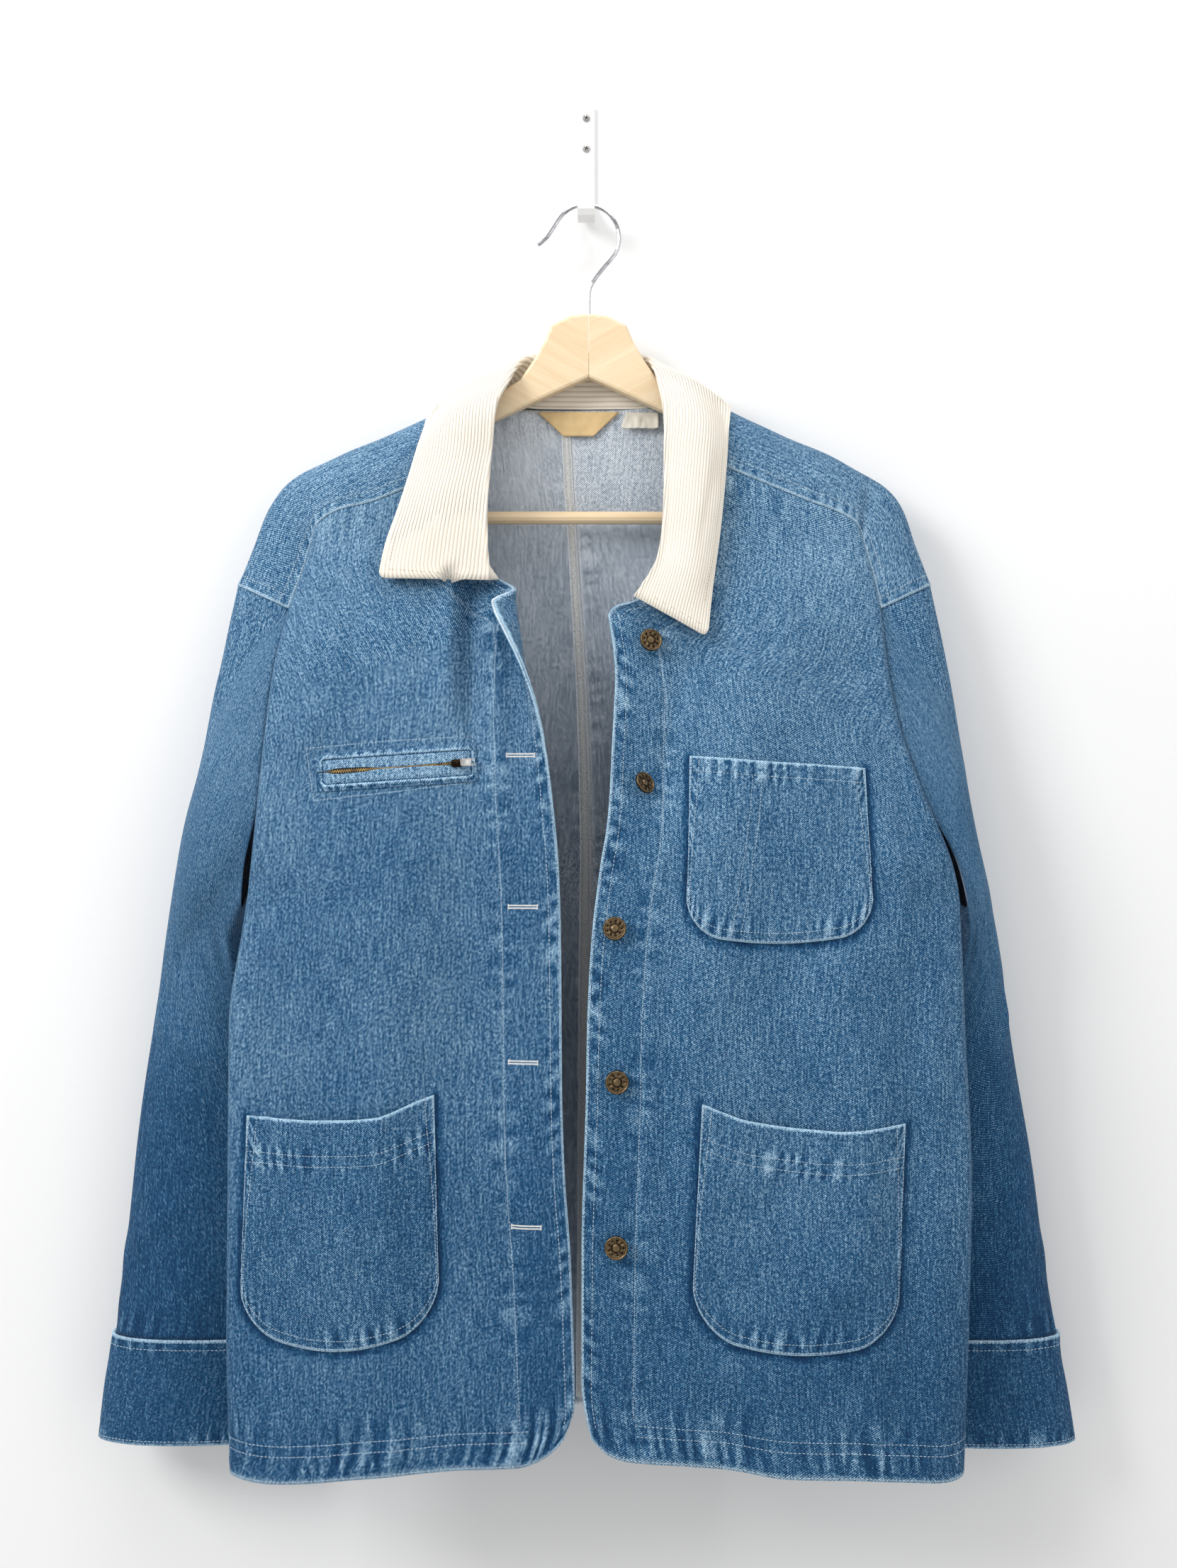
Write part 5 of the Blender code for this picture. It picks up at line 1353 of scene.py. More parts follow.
class Look:
    """A node-based material that is being put together."""

    def __init__(self, name):
        self.material = bpy.data.materials.new(name)
        self.material.use_nodes = True
        self.tree = self.material.node_tree
        self.shader = self.tree.nodes["Principled BSDF"]

    def node(self, kind, settings=None, inputs=None, output=0):
        """Adds a node: its settings first, then the values or links of its sockets."""
        made = self.tree.nodes.new(kind)
        for name, value in (settings or {}).items():
            if name == "stops":
                ramp = made.color_ramp
                while len(ramp.elements) < len(value):
                    ramp.elements.new(1.0)
                for element, (place, colour) in zip(ramp.elements, value):
                    element.position = place
                    element.color = (*colour, 1.0)
            else:
                setattr(made, name, value)
        for name, value in (inputs or {}).items():
            if isinstance(value, Value):
                self.tree.links.new(value.socket, made.inputs[name])
            elif isinstance(value, tuple) and len(value) == 3 and made.inputs[name].type == "RGBA":
                made.inputs[name].default_value = (*value, 1.0)
            else:
                made.inputs[name].default_value = value
        return Value(self, made.outputs[output])

    def mix(self, factor, first, second):
        """A colour between two colours."""
        return self.node("ShaderNodeMix", {"data_type": "RGBA"}, {0: factor, 6: first, 7: second}, 2)

    def place(self, source="Object", turn=(0.0, 0.0, 0.0), scale=(1.0, 1.0, 1.0)):
        """Coordinates in metres, from the object or from the piece's own weave map, turned then stretched."""
        if source == "Object":
            start = self.node("ShaderNodeTexCoord", output=3)
        else:
            start = self.node("ShaderNodeUVMap", {"uv_map": source})
        turned = self.node("ShaderNodeMapping", inputs={"Vector": start, "Rotation": turn})
        return self.node("ShaderNodeMapping", inputs={"Vector": turned, "Scale": scale})

    def noise(self, place, scale, detail=2.0, roughness=0.5):
        inputs = {"Vector": place, "Scale": scale, "Detail": detail, "Roughness": roughness}
        return self.node("ShaderNodeTexNoise", inputs=inputs)

    def clamped(self, value, low, high, to_low=0.0, to_high=1.0):
        """The value brought from one range into another and kept there."""
        return self.node(
            "ShaderNodeMapRange", {"clamp": True},
            {"Value": value, "From Min": low, "From Max": high, "To Min": to_low, "To Max": to_high},
        )

    def bump(self, height, strength, distance):
        inputs = {"Height": height, "Strength": strength, "Distance": distance}
        return self.node("ShaderNodeBump", inputs=inputs)

    def finish(self, colour, roughness, normal=None, metallic=0.0, **constants):
        """Links what varies and sets what doesn't on the shader's own sockets."""
        sockets = {"Base Color": colour, "Roughness": roughness, "Metallic": metallic, "Normal": normal}
        for name, value in sockets.items():
            if isinstance(value, Value):
                self.tree.links.new(value.socket, self.shader.inputs[name])
            elif isinstance(value, tuple):
                self.shader.inputs[name].default_value = (*value, 1.0)
            elif value is not None:
                self.shader.inputs[name].default_value = value
        for name, value in constants.items():
            self.shader.inputs[name.replace("_", " ").title().replace("Ior", "IOR")].default_value = value
        return self.material


def colour_of(name):
    """One of the user's colours, from the panel's settings."""
    return tuple(getattr(bpy.context.scene.jacket_colours, name))


TWILL_PITCH = 0.00115
TWILL_TURN = (0, 0, math.radians(-40))
BANDS_A_METRE = 0.314


@lru_cache(maxsize=None)
def denim(inside=False):
    """Worn twill: indigo warp over a pale weft, heathered, and paler where sewing lifts it; its wear values
    also bring painted shadow, and it is painted lighter inside towards the neck and darker outside towards
    the hem.
    """
    look = Look("denim_inside" if inside else "denim")
    twill_place = look.place("Weave", turn=TWILL_TURN)
    ribs = look.node(
        "ShaderNodeTexWave", {"wave_type": "BANDS", "bands_direction": "Y", "wave_profile": "SIN"},
        {
            "Vector": twill_place, "Scale": BANDS_A_METRE / TWILL_PITCH, "Distortion": 1.6,
            "Detail": 2.0, "Detail Scale": 2.2,
        },
    )
    flecks = look.noise(look.place("Weave", turn=TWILL_TURN, scale=(0.45, 1, 1)), 1500, 2.0, 0.6)
    slubs = look.noise(look.place("Weave", scale=(1, 0.07, 1)), 640, 2.0)
    heather = look.noise(look.place("Weave", scale=(1, 0.6, 1)), 620, 2.0, 0.6)
    clouds = look.noise(look.place("Object", scale=(1, 1, 0.5)), 14, 3.0)
    wear = look.node("ShaderNodeAttribute", {"attribute_name": "wear"}, output=2)
    fleck = look.clamped(flecks, 0.36, 0.64)
    rib_share = 0.42 if inside else 0.26
    lightness = fleck * (0.62 - rib_share) + look.clamped(heather, 0.38, 0.62) * 0.24 + ribs * rib_share
    lightness = lightness + look.clamped(slubs, 0.38, 0.62) * 0.14
    lightness = lightness + look.clamped(clouds, 0.3, 0.7, -0.045, 0.045)
    # Paler where worn, and darker where shadow is painted round the pockets and in the zip's groove.
    wear_and_shade_tone = look.clamped(wear, -0.6, 1.1, -0.26, 0.62) * look.clamped(fleck + ribs, 0.2, 1.6, 0.65, 1.2)
    # Painted light: inside, lighter towards the neck opening, where light comes in; outside, darker towards
    # the hem.
    height = look.node("ShaderNodeSeparateXYZ", inputs={"Vector": look.place("Object")}, output=2)
    shade = look.clamped(height, *((-0.5, -0.22, -0.12, 0.13) if inside else (-1.0, -0.25, -0.14, 0.05)))
    lightness = lightness + wear_and_shade_tone + shade
    kind = "inside" if inside else "indigo"
    dark, middle, pale = (colour_of(f"{kind}_{shade}") for shade in ("dark", "middle", "pale"))
    stops = ((0.2, dark), (0.52, middle), (0.96, pale))
    ramp = look.node("ShaderNodeValToRGB", {"stops": stops}, {0: lightness})
    bump = look.bump(ribs * 0.6 + fleck * 0.7, 0.35, 0.0003)
    return look.finish(ramp, 0.9, bump, specular_ior_level=0.15, sheen_weight=0.04, sheen_roughness=0.6)


@lru_cache(maxsize=None)
def corduroy():
    """Cream cord: pale crowns, and painted shade in the grooves between them."""
    look = Look("corduroy")
    crown = look.node("ShaderNodeAttribute", {"attribute_name": "wear"}, output=2)
    nap = look.noise(look.place("Weave", scale=(0.3, 1, 1)), 1500, 2.0)
    clouds = look.noise(look.place("Object"), 24, 2.0)
    # Painted shade: the grooves between the ribs take the darker groove colour, the crowns the paler one.
    shade = look.clamped(crown, 0.0, 0.75) * 0.8 + look.clamped(nap, 0.3, 0.7) * 0.14
    shade = shade + look.clamped(clouds, 0.3, 0.7, -0.04, 0.1)
    colour = look.mix(shade, colour_of("cord_groove"), colour_of("cord_crown"))
    return look.finish(colour, 0.95, look.bump(nap, 0.3, 0.0003), sheen_weight=0.3, sheen_roughness=0.5)


@lru_cache(maxsize=None)
def thread_look(kind):
    """Spun thread, a little uneven in its lightness."""
    look = Look(f"thread_{kind}")
    fibre = look.noise(look.place("Object"), 900, 2.0)
    pale = colour_of(f"thread_{kind}")
    dark = tuple(0.62 * part for part in pale)
    return look.finish(look.mix(look.clamped(fibre, 0.3, 0.7), dark, pale), 0.85, specular_ior_level=0.2)


@lru_cache(maxsize=None)
def wood(way):
    """Pale close-grained wood whose grain runs along the piece."""
    turn = {"right": math.radians(-28), "left": math.radians(28), "bar": 0.0}[way]
    look = Look(f"wood_{way}")
    grain = look.noise(look.place("Object", turn=(0, turn, 0), scale=(0.045, 1, 1)), 260, 4.0, 0.6)
    broad = look.noise(look.place("Object", turn=(0, turn, 0), scale=(0.2, 1, 1)), 30, 2.0)
    pores = look.noise(look.place("Object", turn=(0, turn, 0), scale=(0.08, 1, 1)), 900, 1.0)
    amount = look.clamped(grain, 0.35, 0.7) * 0.6 + look.clamped(broad, 0.3, 0.7) * 0.4
    colour = look.mix(amount, colour_of("wood_pale"), colour_of("wood_grain"))
    colour = look.mix(look.clamped(pores, 0.6, 0.75) * 0.35, colour, colour_of("wood_grain"))
    roughness = look.clamped(grain, 0.3, 0.7, 0.38, 0.5)
    return look.finish(colour, roughness, look.bump(grain, 0.12, 0.0004), coat_weight=0.15)


@lru_cache(maxsize=None)
def metal(kind):
    """Chrome wire, brushed steel, antique brass, or the bright brass of the zip's teeth."""
    finishes = {
        "chrome": ((0.5, 0.5, 0.52), (0.3, 0.3, 0.32), 0.1, 0.22),
        "steel": ((0.62, 0.61, 0.59), (0.42, 0.41, 0.4), 0.2, 0.42),
        "antique": ((0.22, 0.155, 0.085), (0.016, 0.011, 0.008), 0.28, 0.6),
        "teeth": ((0.55, 0.38, 0.17), (0.16, 0.11, 0.06), 0.25, 0.5),
    }
    bright, dull, smooth_part, rough_part = finishes[kind]
    look = Look(f"metal_{kind}")
    patches = look.noise(look.place("Object"), 420 if kind == "antique" else 180, 4.0, 0.6)
    amount = look.clamped(patches, 0.35, 0.65)
    if kind == "antique":
        high = look.node("ShaderNodeAttribute", {"attribute_name": "wear"}, output=2)
        amount = look.clamped(amount * 0.5 + (1 - high) * 0.75, 0.1, 0.95)
    roughness = look.clamped(patches, 0.3, 0.7, smooth_part, rough_part)
    colour = look.mix(amount, bright, dull)
    return look.finish(colour, roughness, look.bump(patches, 0.08, 0.0003), metallic=1.0)


@lru_cache(maxsize=None)
def plain_cloth(name, roughness=0.85):
    """A woven tape, label or lining: a fine even weave on one colour."""
    look = Look(name)
    place = look.place("Weave")
    bands = [
        look.node(
            "ShaderNodeTexWave", {"wave_type": "BANDS", "bands_direction": way},
            {"Vector": place, "Scale": 420.0, "Distortion": 0.6},
        )
        for way in "XY"
    ]
    soil = look.noise(look.place("Object"), 90, 3.0)
    amount = bands[0] * 0.25 + bands[1] * 0.25 + look.clamped(soil, 0.35, 0.7) * 0.5
    pale = colour_of(name)
    dark = tuple(0.72 * part for part in pale)
    return look.finish(look.mix(amount, pale, dark), roughness, look.bump(bands[0] + bands[1], 0.2, 0.0002))


@lru_cache(maxsize=None)
def plastic():
    """White moulded plastic with a faint unevenness."""
    look = Look("white_plastic")
    dimple = look.noise(look.place("Object"), 700, 2.0)
    tone = look.noise(look.place("Object"), 60, 2.0)
    colour = look.mix(tone, (0.86, 0.86, 0.85), (0.93, 0.93, 0.92))
    return look.finish(colour, look.clamped(dimple, 0.3, 0.7, 0.32, 0.42), look.bump(dimple, 0.05, 0.0002))


@lru_cache(maxsize=None)
def front_tree(side):
    """A search tree of a front's finished outer face."""
    return tree_of([front(side).outer])


def seen_at(side, out, drop):
    """The point of a front's outer face seen straight from the front."""
    start = Vector(placed(side, [out, 400, drop]))
    return front_tree(side).ray_cast(start, Vector((0, 1, 0)))[0]


def face_at(side, out, drop):
    """That point, and the way the cloth faces there."""
    step = 2.5
    across = seen_at(side, out + step, drop) - seen_at(side, out - step, drop)
    down = seen_at(side, out, drop + step) - seen_at(side, out, drop - step)
    normal = across.cross(down).normalized()
    return seen_at(side, out, drop), normal * (1 if normal.y < 0 else -1)


def local_frame(side, out, drop, lift=0.0, spin=0.0, tilt=0.0):
    """A matrix whose Z stands off the front and whose X runs towards the wearer's left."""
    point, facing_way = face_at(side, out, drop)
    right = Vector((0, 0, 1)).cross(facing_way).normalized()
    turn = Matrix((right, facing_way.cross(right), facing_way)).transposed().to_4x4()
    turn.translation = point + facing_way * lift / 1000
    return turn @ Matrix.Rotation(spin, 4, "Z") @ Matrix.Rotation(tilt, 4, "Y")


def patch(side, columns, rows, place, lift, thickness=SHELL):
    """A panel on a front: place gives out and drop, lift its height above the cloth."""
    grid = []
    for down in rows:
        line = []
        for across in columns:
            point, normal = face_at(side, *place(across, down))
            line.append(point + normal * lift(across, down) / 1000)
        grid.append(line)
    panel = Panel(side, np.array(grid), (0, -1, 0), thickness)
    panel.plan = True
    return panel


TOP_DIPS = {
    "pocket_chest": table_of(Share, (0, 0), (0.5, 0.6), (1, 0)),
    "pocket_hip_right": table_of(Share, (0, 0), (0.07, 1.7), (0.33, 9.4), (0.68, 6.5), (1, 0)),
    "pocket_hip_left": table_of(Share, (0, 0), (0.23, 8.5), (0.45, 10.2), (0.64, 9.3), (1, 0)),
}
POCKET_HEMS = {"pocket_chest": (11.0,), "pocket_hip_right": (25.5, 33.0), "pocket_hip_left": (23.5, 31.0)}
POCKET_CREASES = {
    "pocket_chest": table_of(Crease, (100, 500, 96, 590, 10, 0.7), (180, 510, 188, 590, 12, -0.7)),
    "pocket_hip_right": table_of(
        Crease, (147, 722, 152, 770, 4, 2.2), (122, 714, 119, 752, 4, -1.3),
        (233, 728, 228, 760, 4, -1.1), (180, 760, 170, 860, 16, 1.4), (140, 770, 150, 870, 14, -1.2),
    ),
    "pocket_hip_left": table_of(
        Crease, (100, 722, 98, 760, 5, -1.3), (150, 735, 168, 770, 6, 1.2), (205, 735, 212, 765, 5, -1.1),
        (130, 770, 170, 830, 12, -1.8), (190, 780, 180, 880, 16, 1.4),
    ),
}
POCKET_CELLS = 60


def pocket_place(name, across, down):
    """Where a share across and down a pocket is, round its lower corners."""
    shape = POCKETS[name]
    width = abs(shape.bottom_outer[0] - shape.bottom_inner[0])
    top = np.array(shape.top_inner) * (1 - across) + np.array(shape.top_outer) * across
    bottom = np.array(shape.bottom_inner) * (1 - across) + np.array(shape.bottom_outer) * across
    top[1] += float(smooth(*zip(*TOP_DIPS[name]), across))
    short = max(0.0, 1 - min(across, 1 - across) * width / shape.corner)
    bottom[1] += shape.belly * math.sin(math.pi * across) - shape.corner * (1 - math.sqrt(1 - short * short))
    return top * (1 - down) + bottom * down


def pocket_outline(name):
    """Places round a pocket's sewn edge, a little outside it, where the front's painted shadow lies."""
    shares = [(1 - math.cos(math.pi * k / 48)) / 2 for k in range(49)]
    around = [(0, share) for share in shares] + [(share, 1) for share in shares]
    around += [(1, share) for share in shares]
    return [pocket_place(name, x, y) + np.array([1.2 * (2 * x - 1), 1.2 * y]) for x, y in around]


@lru_cache(maxsize=None)
def pocket(name):
    """A patch pocket: square above, drawn in to round corners below, its mouth standing off a little."""
    shape = POCKETS[name]
    width = abs(shape.bottom_outer[0] - shape.bottom_inner[0])

    def lift(across, down):
        edge = min(min(across, 1 - across) * width, (1 - down) * 140)
        settled = 0.75 + 1.0 * float(fade(edge / 9))
        mouth = 1.6 * (1 - down) ** 8 * math.sin(math.pi * across)
        swell = shape.swell * math.sin(math.pi * across) ** 0.8 * (1 - down**2) * float(fade(edge / 30))
        return settled + mouth + swell

    columns = [(1 - math.cos(math.pi * k / POCKET_CELLS)) / 2 for k in range(POCKET_CELLS + 1)]
    rows = [1 - k / POCKET_CELLS for k in range(POCKET_CELLS + 1)]
    panel = patch(shape.side, columns, rows, lambda across, down: pocket_place(name, across, down), lift)
    edges = np.minimum(np.minimum(panel.start, panel.end), panel.low)
    calm = fade(edges / 12)
    panel.rise += creased(POCKET_CREASES[name], panel.out, panel.drop) * fade(edges / 5)
    panel.rise += uneven(panel.out, panel.drop, 90 + len(name), 45, 0.6) * calm
    seed = 100 + 10 * sorted(POCKETS).index(name)
    from_hem = np.abs(panel.top - POCKET_HEMS[name][-1] + 4)
    sewing = (
        (panel.low, panel.start, 7.5, 9.0, 0.6, 0.75), (panel.start, panel.low, 4.5, 11.0, 0.3, 0.5),
        (panel.end, panel.low, 4.5, 11.0, 0.3, 0.5), (from_hem, panel.start, 4.0, 10.0, 0.4, 0.75),
    )
    panel.gather(sewing, seed, fade(edges / 2.5), -0.7)
    panel.wear += 1.15 * near_edge(edges, 1.9) + 1.15 * near_edge(panel.top, 2.2)
    return panel.settle()


def round_path(panel, inset):
    """Down one side of a pocket, round its lower edge and up the other side, inset from its edge."""
    height = float(np.median(panel.low[-1]))
    width = float(np.median(panel.start[:, -1]))
    up, along = inset / height, inset / width
    first, last = panel.trace("start", inset, up), panel.trace("end", inset, up)
    bottom = panel.trace("low", inset, along, 1 - along)
    reach = len(bottom.points)
    skip = int(reach * 0.02)
    return Line(
        np.concatenate([first.points[::-1], bottom.points[skip:reach - skip], last.points]),
        np.concatenate([first.normals[::-1], bottom.normals[skip:reach - skip], last.normals]),
    )


ZIP_FRAME = ((205.5, 467.5), (150, 462.5), (84, 458.5), (82.5, 492), (140, 499), (199.5, 505.5))
SLOT = table_of(
    Share, (-0.06, 0.3), (0, 0.5), (0.1, 2.1), (0.28, 1.7), (0.42, 0.4), (0.55, 0.25), (0.68, 0.7),
    (0.92, 1.3), (1.0, 0.5), (1.06, 0.3),
)
WINDOW_HALF = 9.6
WINDOW_CORNER = 3.0
WELT_REACH = 14.0


def window_edge(along, away):
    """How far a place is outside the zip pocket's window, in millimetres."""
    half = math.dist(ZIP_START, ZIP_END) / 2
    past_end = abs(along - half) - (half + 1.5 - WINDOW_CORNER)
    past_side = away - (WINDOW_HALF - WINDOW_CORNER)
    outside = math.hypot(max(past_end, 0.0), max(past_side, 0.0))
    return outside + min(max(past_end, past_side), 0.0) - WINDOW_CORNER


@lru_cache(maxsize=None)
def zip_lip(way):
    """Half of the zip's frame: a plump lip from the slot, a step up to the worn fold, and the flat band, with
    a painted shadow in the groove round the window.
    """
    length = math.dist(ZIP_START, ZIP_END)

    def spot(across, down):
        share = -0.055 + 1.11 * across
        near = float(smooth(*zip(*SLOT), share))
        return share, near + (WELT_REACH - near) * down

    def place(across, down):
        share, away = spot(across, down)
        return zip_line(share, way * away)

    def lift(across, down):
        share, away = spot(across, down)
        past = window_edge(share * length, away)
        lip = 0.35 + 1.15 * float(fade(-past / 3.5)) * float(fade((away + 0.8) / 2.6))
        fold = 0.8 + 1.1 * math.exp(-((past - 1.1) ** 2)) - 0.5 * float(fade((past - 1.5) / 3.0))
        return lip + (fold - lip) * float(fade((past + 0.35) / 0.7))

    columns, rows = np.linspace(0, 1, 121), np.linspace(0, 1, 35)
    panel = patch("right", columns, rows, place, lift)
    places = [[spot(across, down) for across in columns] for down in rows]
    past = np.array([[window_edge(share * length, away) for share, away in row] for row in places])
    wave = gathers(np.abs(past - 4.5), panel.start, 3.0, 9.0, 0.3, 130 + way) * fade(past / 2)
    panel.rise += wave * fade(np.minimum(panel.low, panel.top) / 2)
    # Painted shadow: a dark line just inside the window's edge, in the groove under the fold; the lips inside
    # the window are a little paler and the fold is worn pale.
    panel.wear += np.clip(wave / 0.3, -0.6, 1) * 0.5 + 0.7 * hollow(past - 0.8, 0.6)
    panel.wear += np.where(past < 0, 0.3, 0) - 0.8 * hollow(past + 0.5, 0.6)
    return panel.settle()


@lru_cache(maxsize=None)
def zip_tape():
    """The strip of tape that shows between the lips."""
    columns, rows = np.linspace(0, 1, 31), (0, 0.5, 1)
    return patch(
        "right", columns, rows, lambda across, down: zip_line(-0.02 + 1.0 * across, 3.6 * (2 * down - 1)),
        lambda across, down: 0.5, 0.5,
    )


@lru_cache(maxsize=None)
def back_tree():
    """A search tree of the back's inner face."""
    return tree_of([half.grid - half.normals * SHELL / 2000 for half in (back("right"), back("left"))])


LABEL_LIFT = 1.9
LABEL_CLOTH = 0.5


def label_panel(label, curl_up, seed):
    """A label hung from its upper edge inside the back."""
    grid = []
    for up in np.linspace(1, 0, 13):
        start = label.start + (label.low_start - label.start) * up
        end = label.end + (label.low_end - label.end) * up
        line = []
        for out in np.linspace(start, end, 25):
            drop = label.drop + label.height * up
            hit = back_tree().ray_cast(Vector(placed("left", [out, 60, drop])), Vector((0, 1, 0)))[0]
            line.append([hit.x, hit.y - (LABEL_LIFT + curl_up * up**2) / 1000, hit.z])
        grid.append(line)
    panel = Panel("left", np.array(grid), (0, -1, 0), LABEL_CLOTH)
    panel.rise += np.abs(uneven(panel.out, panel.drop, seed, 16, curl_up * 0.8)) * fade(panel.top / 6)
    return panel.settle()


def zigzag(whole, first, second, pitch, thread):
    """Overlock thread thrown to and fro between two lines."""
    lines = []
    for line in (first, second):
        run = run_of(line.points) * 1000
        places = np.linspace(0, run[-1], int(run[-1] / pitch) + 1)
        lines.append(np.stack([np.interp(places, run, line.points[:, axis]) for axis in range(3)], axis=1))
    count = min(len(lines[0]), len(lines[1]))
    points = np.empty((2 * count, 3))
    points[0::2], points[1::2] = lines[0][:count], lines[1][:count]
    normal = Vector(first.normals.mean(axis=0)).normalized()
    row = bmesh.new()
    for a, b in zip(points[:-1], points[1:]):
        along = Vector(b - a)
        side = normal.cross(along).normalized()
        middle = Vector((a + b) / 2) + normal * thread.lift / 1000
        lay_grain(row, middle, along, side, along.cross(side).normalized(), thread.half, thread.half)
    merged(whole, row)


def cast_line(side, corners, pieces=12):
    """A line on a front through places given by out and drop."""
    outs = refined([corner[0] for corner in corners], pieces)
    drops = refined([corner[1] for corner in corners], pieces)
    found = [face_at(side, out, drop) for out, drop in zip(outs, drops)]
    return Line(np.array([tuple(f[0]) for f in found]), np.array([tuple(f[1]) for f in found]))


def raised(line, lift):
    """The same line, further off the cloth."""
    return Line(line.points + line.normals * lift / 1000, line.normals)


def sew_fronts(whole):
    """Two rows along each front edge, one down the facing, two along the hem."""
    for side in SIDES:
        panel = front(side)
        for inset in EDGE_ROWS:
            sewn(whole, panel.trace("start", inset, 0.02, 0.87), TOPSTITCH)
        sewn(whole, panel.trace("start", FACING_ROW[side], 0.035, 0.9), FINE_STITCH)
        for inset in HEM_ROWS:
            sewn(whole, panel.trace("low", inset, 0.36, 1.0), TOPSTITCH)
        sewn(whole, panel.trace("low", EDGE_ROWS[0], 0.02, 1.0), TOPSTITCH)


def sew_backs(whole):
    """The hem's rows, and two rows beside the centre seam."""
    for side in SIDES:
        for inset in (*HEM_ROWS, EDGE_ROWS[0]):
            sewn(whole, back(side).trace("low", inset), TOPSTITCH)
    for inset in SEAM_ROWS:
        sewn(whole, back("left").trace("start", inset), TOPSTITCH)


def sew_yokes(whole):
    """Two rows along each seam of the yokes."""
    for side in SIDES:
        for measure in ("start", "end", "top"):
            for inset in SEAM_ROWS:
                sewn(whole, yoke(side).trace(measure, inset), TOPSTITCH)


def sew_cuffs(whole):
    """Two rows round a cuff's upper edge and one round its lower edge."""
    for side in SIDES:
        for measure, inset in (("top", 1.5), ("top", 7.5), ("low", 3.0)):
            sewn(whole, cuff(side).trace(measure, inset), TOPSTITCH)


def sew_pockets(whole):
    """Two rows round each pocket, its hem's rows and bartacks, the pencil slot and the zip's frame."""
    for name in POCKETS:
        panel = pocket(name)
        for inset in (1.7, 7.6):
            sewn(whole, round_path(panel, inset), FINE_STITCH)
        for hem in POCKET_HEMS[name]:
            sewn(whole, panel.trace("top", hem), FINE_STITCH)
        for measure in ("start", "end"):
            corner = panel.trace(measure, 1.5, 0.95, 1.0)
            sewn(whole, raised(corner, 0.15), OVERLOCK)
    chest = pocket("pocket_chest")
    for across in (47.0, 54.0):
        sewn(whole, chest.trace("start", across, 0.04, 0.93), FINE_STITCH)
    corners = [*ZIP_FRAME, ZIP_FRAME[0]]
    sewn(whole, cast_line("right", corners), FINE_STITCH)


BUTTONHOLES = ((48.3, 472.5, 10.5), (46.5, 582.0, 10.5), (46.0, 693.0, 10.5), (43.5, 809.0, 10.5))
BUTTONHOLE_LIP = 0.95
BUTTONHOLE_BAR = 1.9
SATIN = Thread(0.5, 1.0, 0.42, 0.2, 1.35)
BARTACK = Thread(0.7, 1.0, 0.5, 0.3, 0.8)


def sew_buttonholes(whole):
    """Two dense lips and a bar at each end of the four buttonholes that lie flat."""
    for out, drop, half in BUTTONHOLES:
        for off in (-BUTTONHOLE_LIP, BUTTONHOLE_LIP):
            sewn(whole, cast_line("right", ((out + half, drop + off), (out - half, drop + off))), SATIN)
        for end in (-half, half):
            bar = ((out + end, drop - BUTTONHOLE_BAR), (out + end, drop + BUTTONHOLE_BAR))
            sewn(whole, cast_line("right", bar, 3), BARTACK)


SERGE_WIDTH = 8.5
SERGE_CLOTH = 0.9
SERGE_LIFT = 0.7
SERGING = Thread(1.2, 1.0, 0.4, 0.3)


def serge(whole):
    """The overlocked allowance of the centre-back seam, and its rows of sewing."""
    allowance = seam_allowance()
    zigzag(whole, allowance.trace("start", 0.2), allowance.trace("end", 0.2), 1.2, SERGING)
    for inset in (1.2, 5.4):
        sewn(whole, raised(allowance.trace("start", inset), 0.1), FINE_STITCH)
    for inset in (1.5, 8.0):
        sewn(whole, back("left").trace("start", inset, inside=True), FINE_STITCH)


@lru_cache(maxsize=None)
def seam_allowance():
    """The pressed seam allowance that lies inside the back, beside the centre seam."""
    whole = back("right")
    columns = int(np.argmin(np.abs(whole.start[len(whole.start) // 2] - SERGE_WIDTH))) + 1
    inward = (SHELL / 2 + SERGE_LIFT) / 1000
    strip = whole.grid[2:-2, :columns] - whole.normals[2:-2, :columns] * inward
    panel = Panel("right", finer(strip, 2, 1), (0, -1, 0), SERGE_CLOTH)
    panel.wear += 0.9
    return panel


class JacketColours(bpy.types.PropertyGroup):
    """The colours of the jacket, its sewing and its hanger."""


def colour_property(title, what, value):
    return bpy.props.FloatVectorProperty(
        name=title, description=what, subtype="COLOR", size=3, min=0.0, max=1.0, default=value,
    )


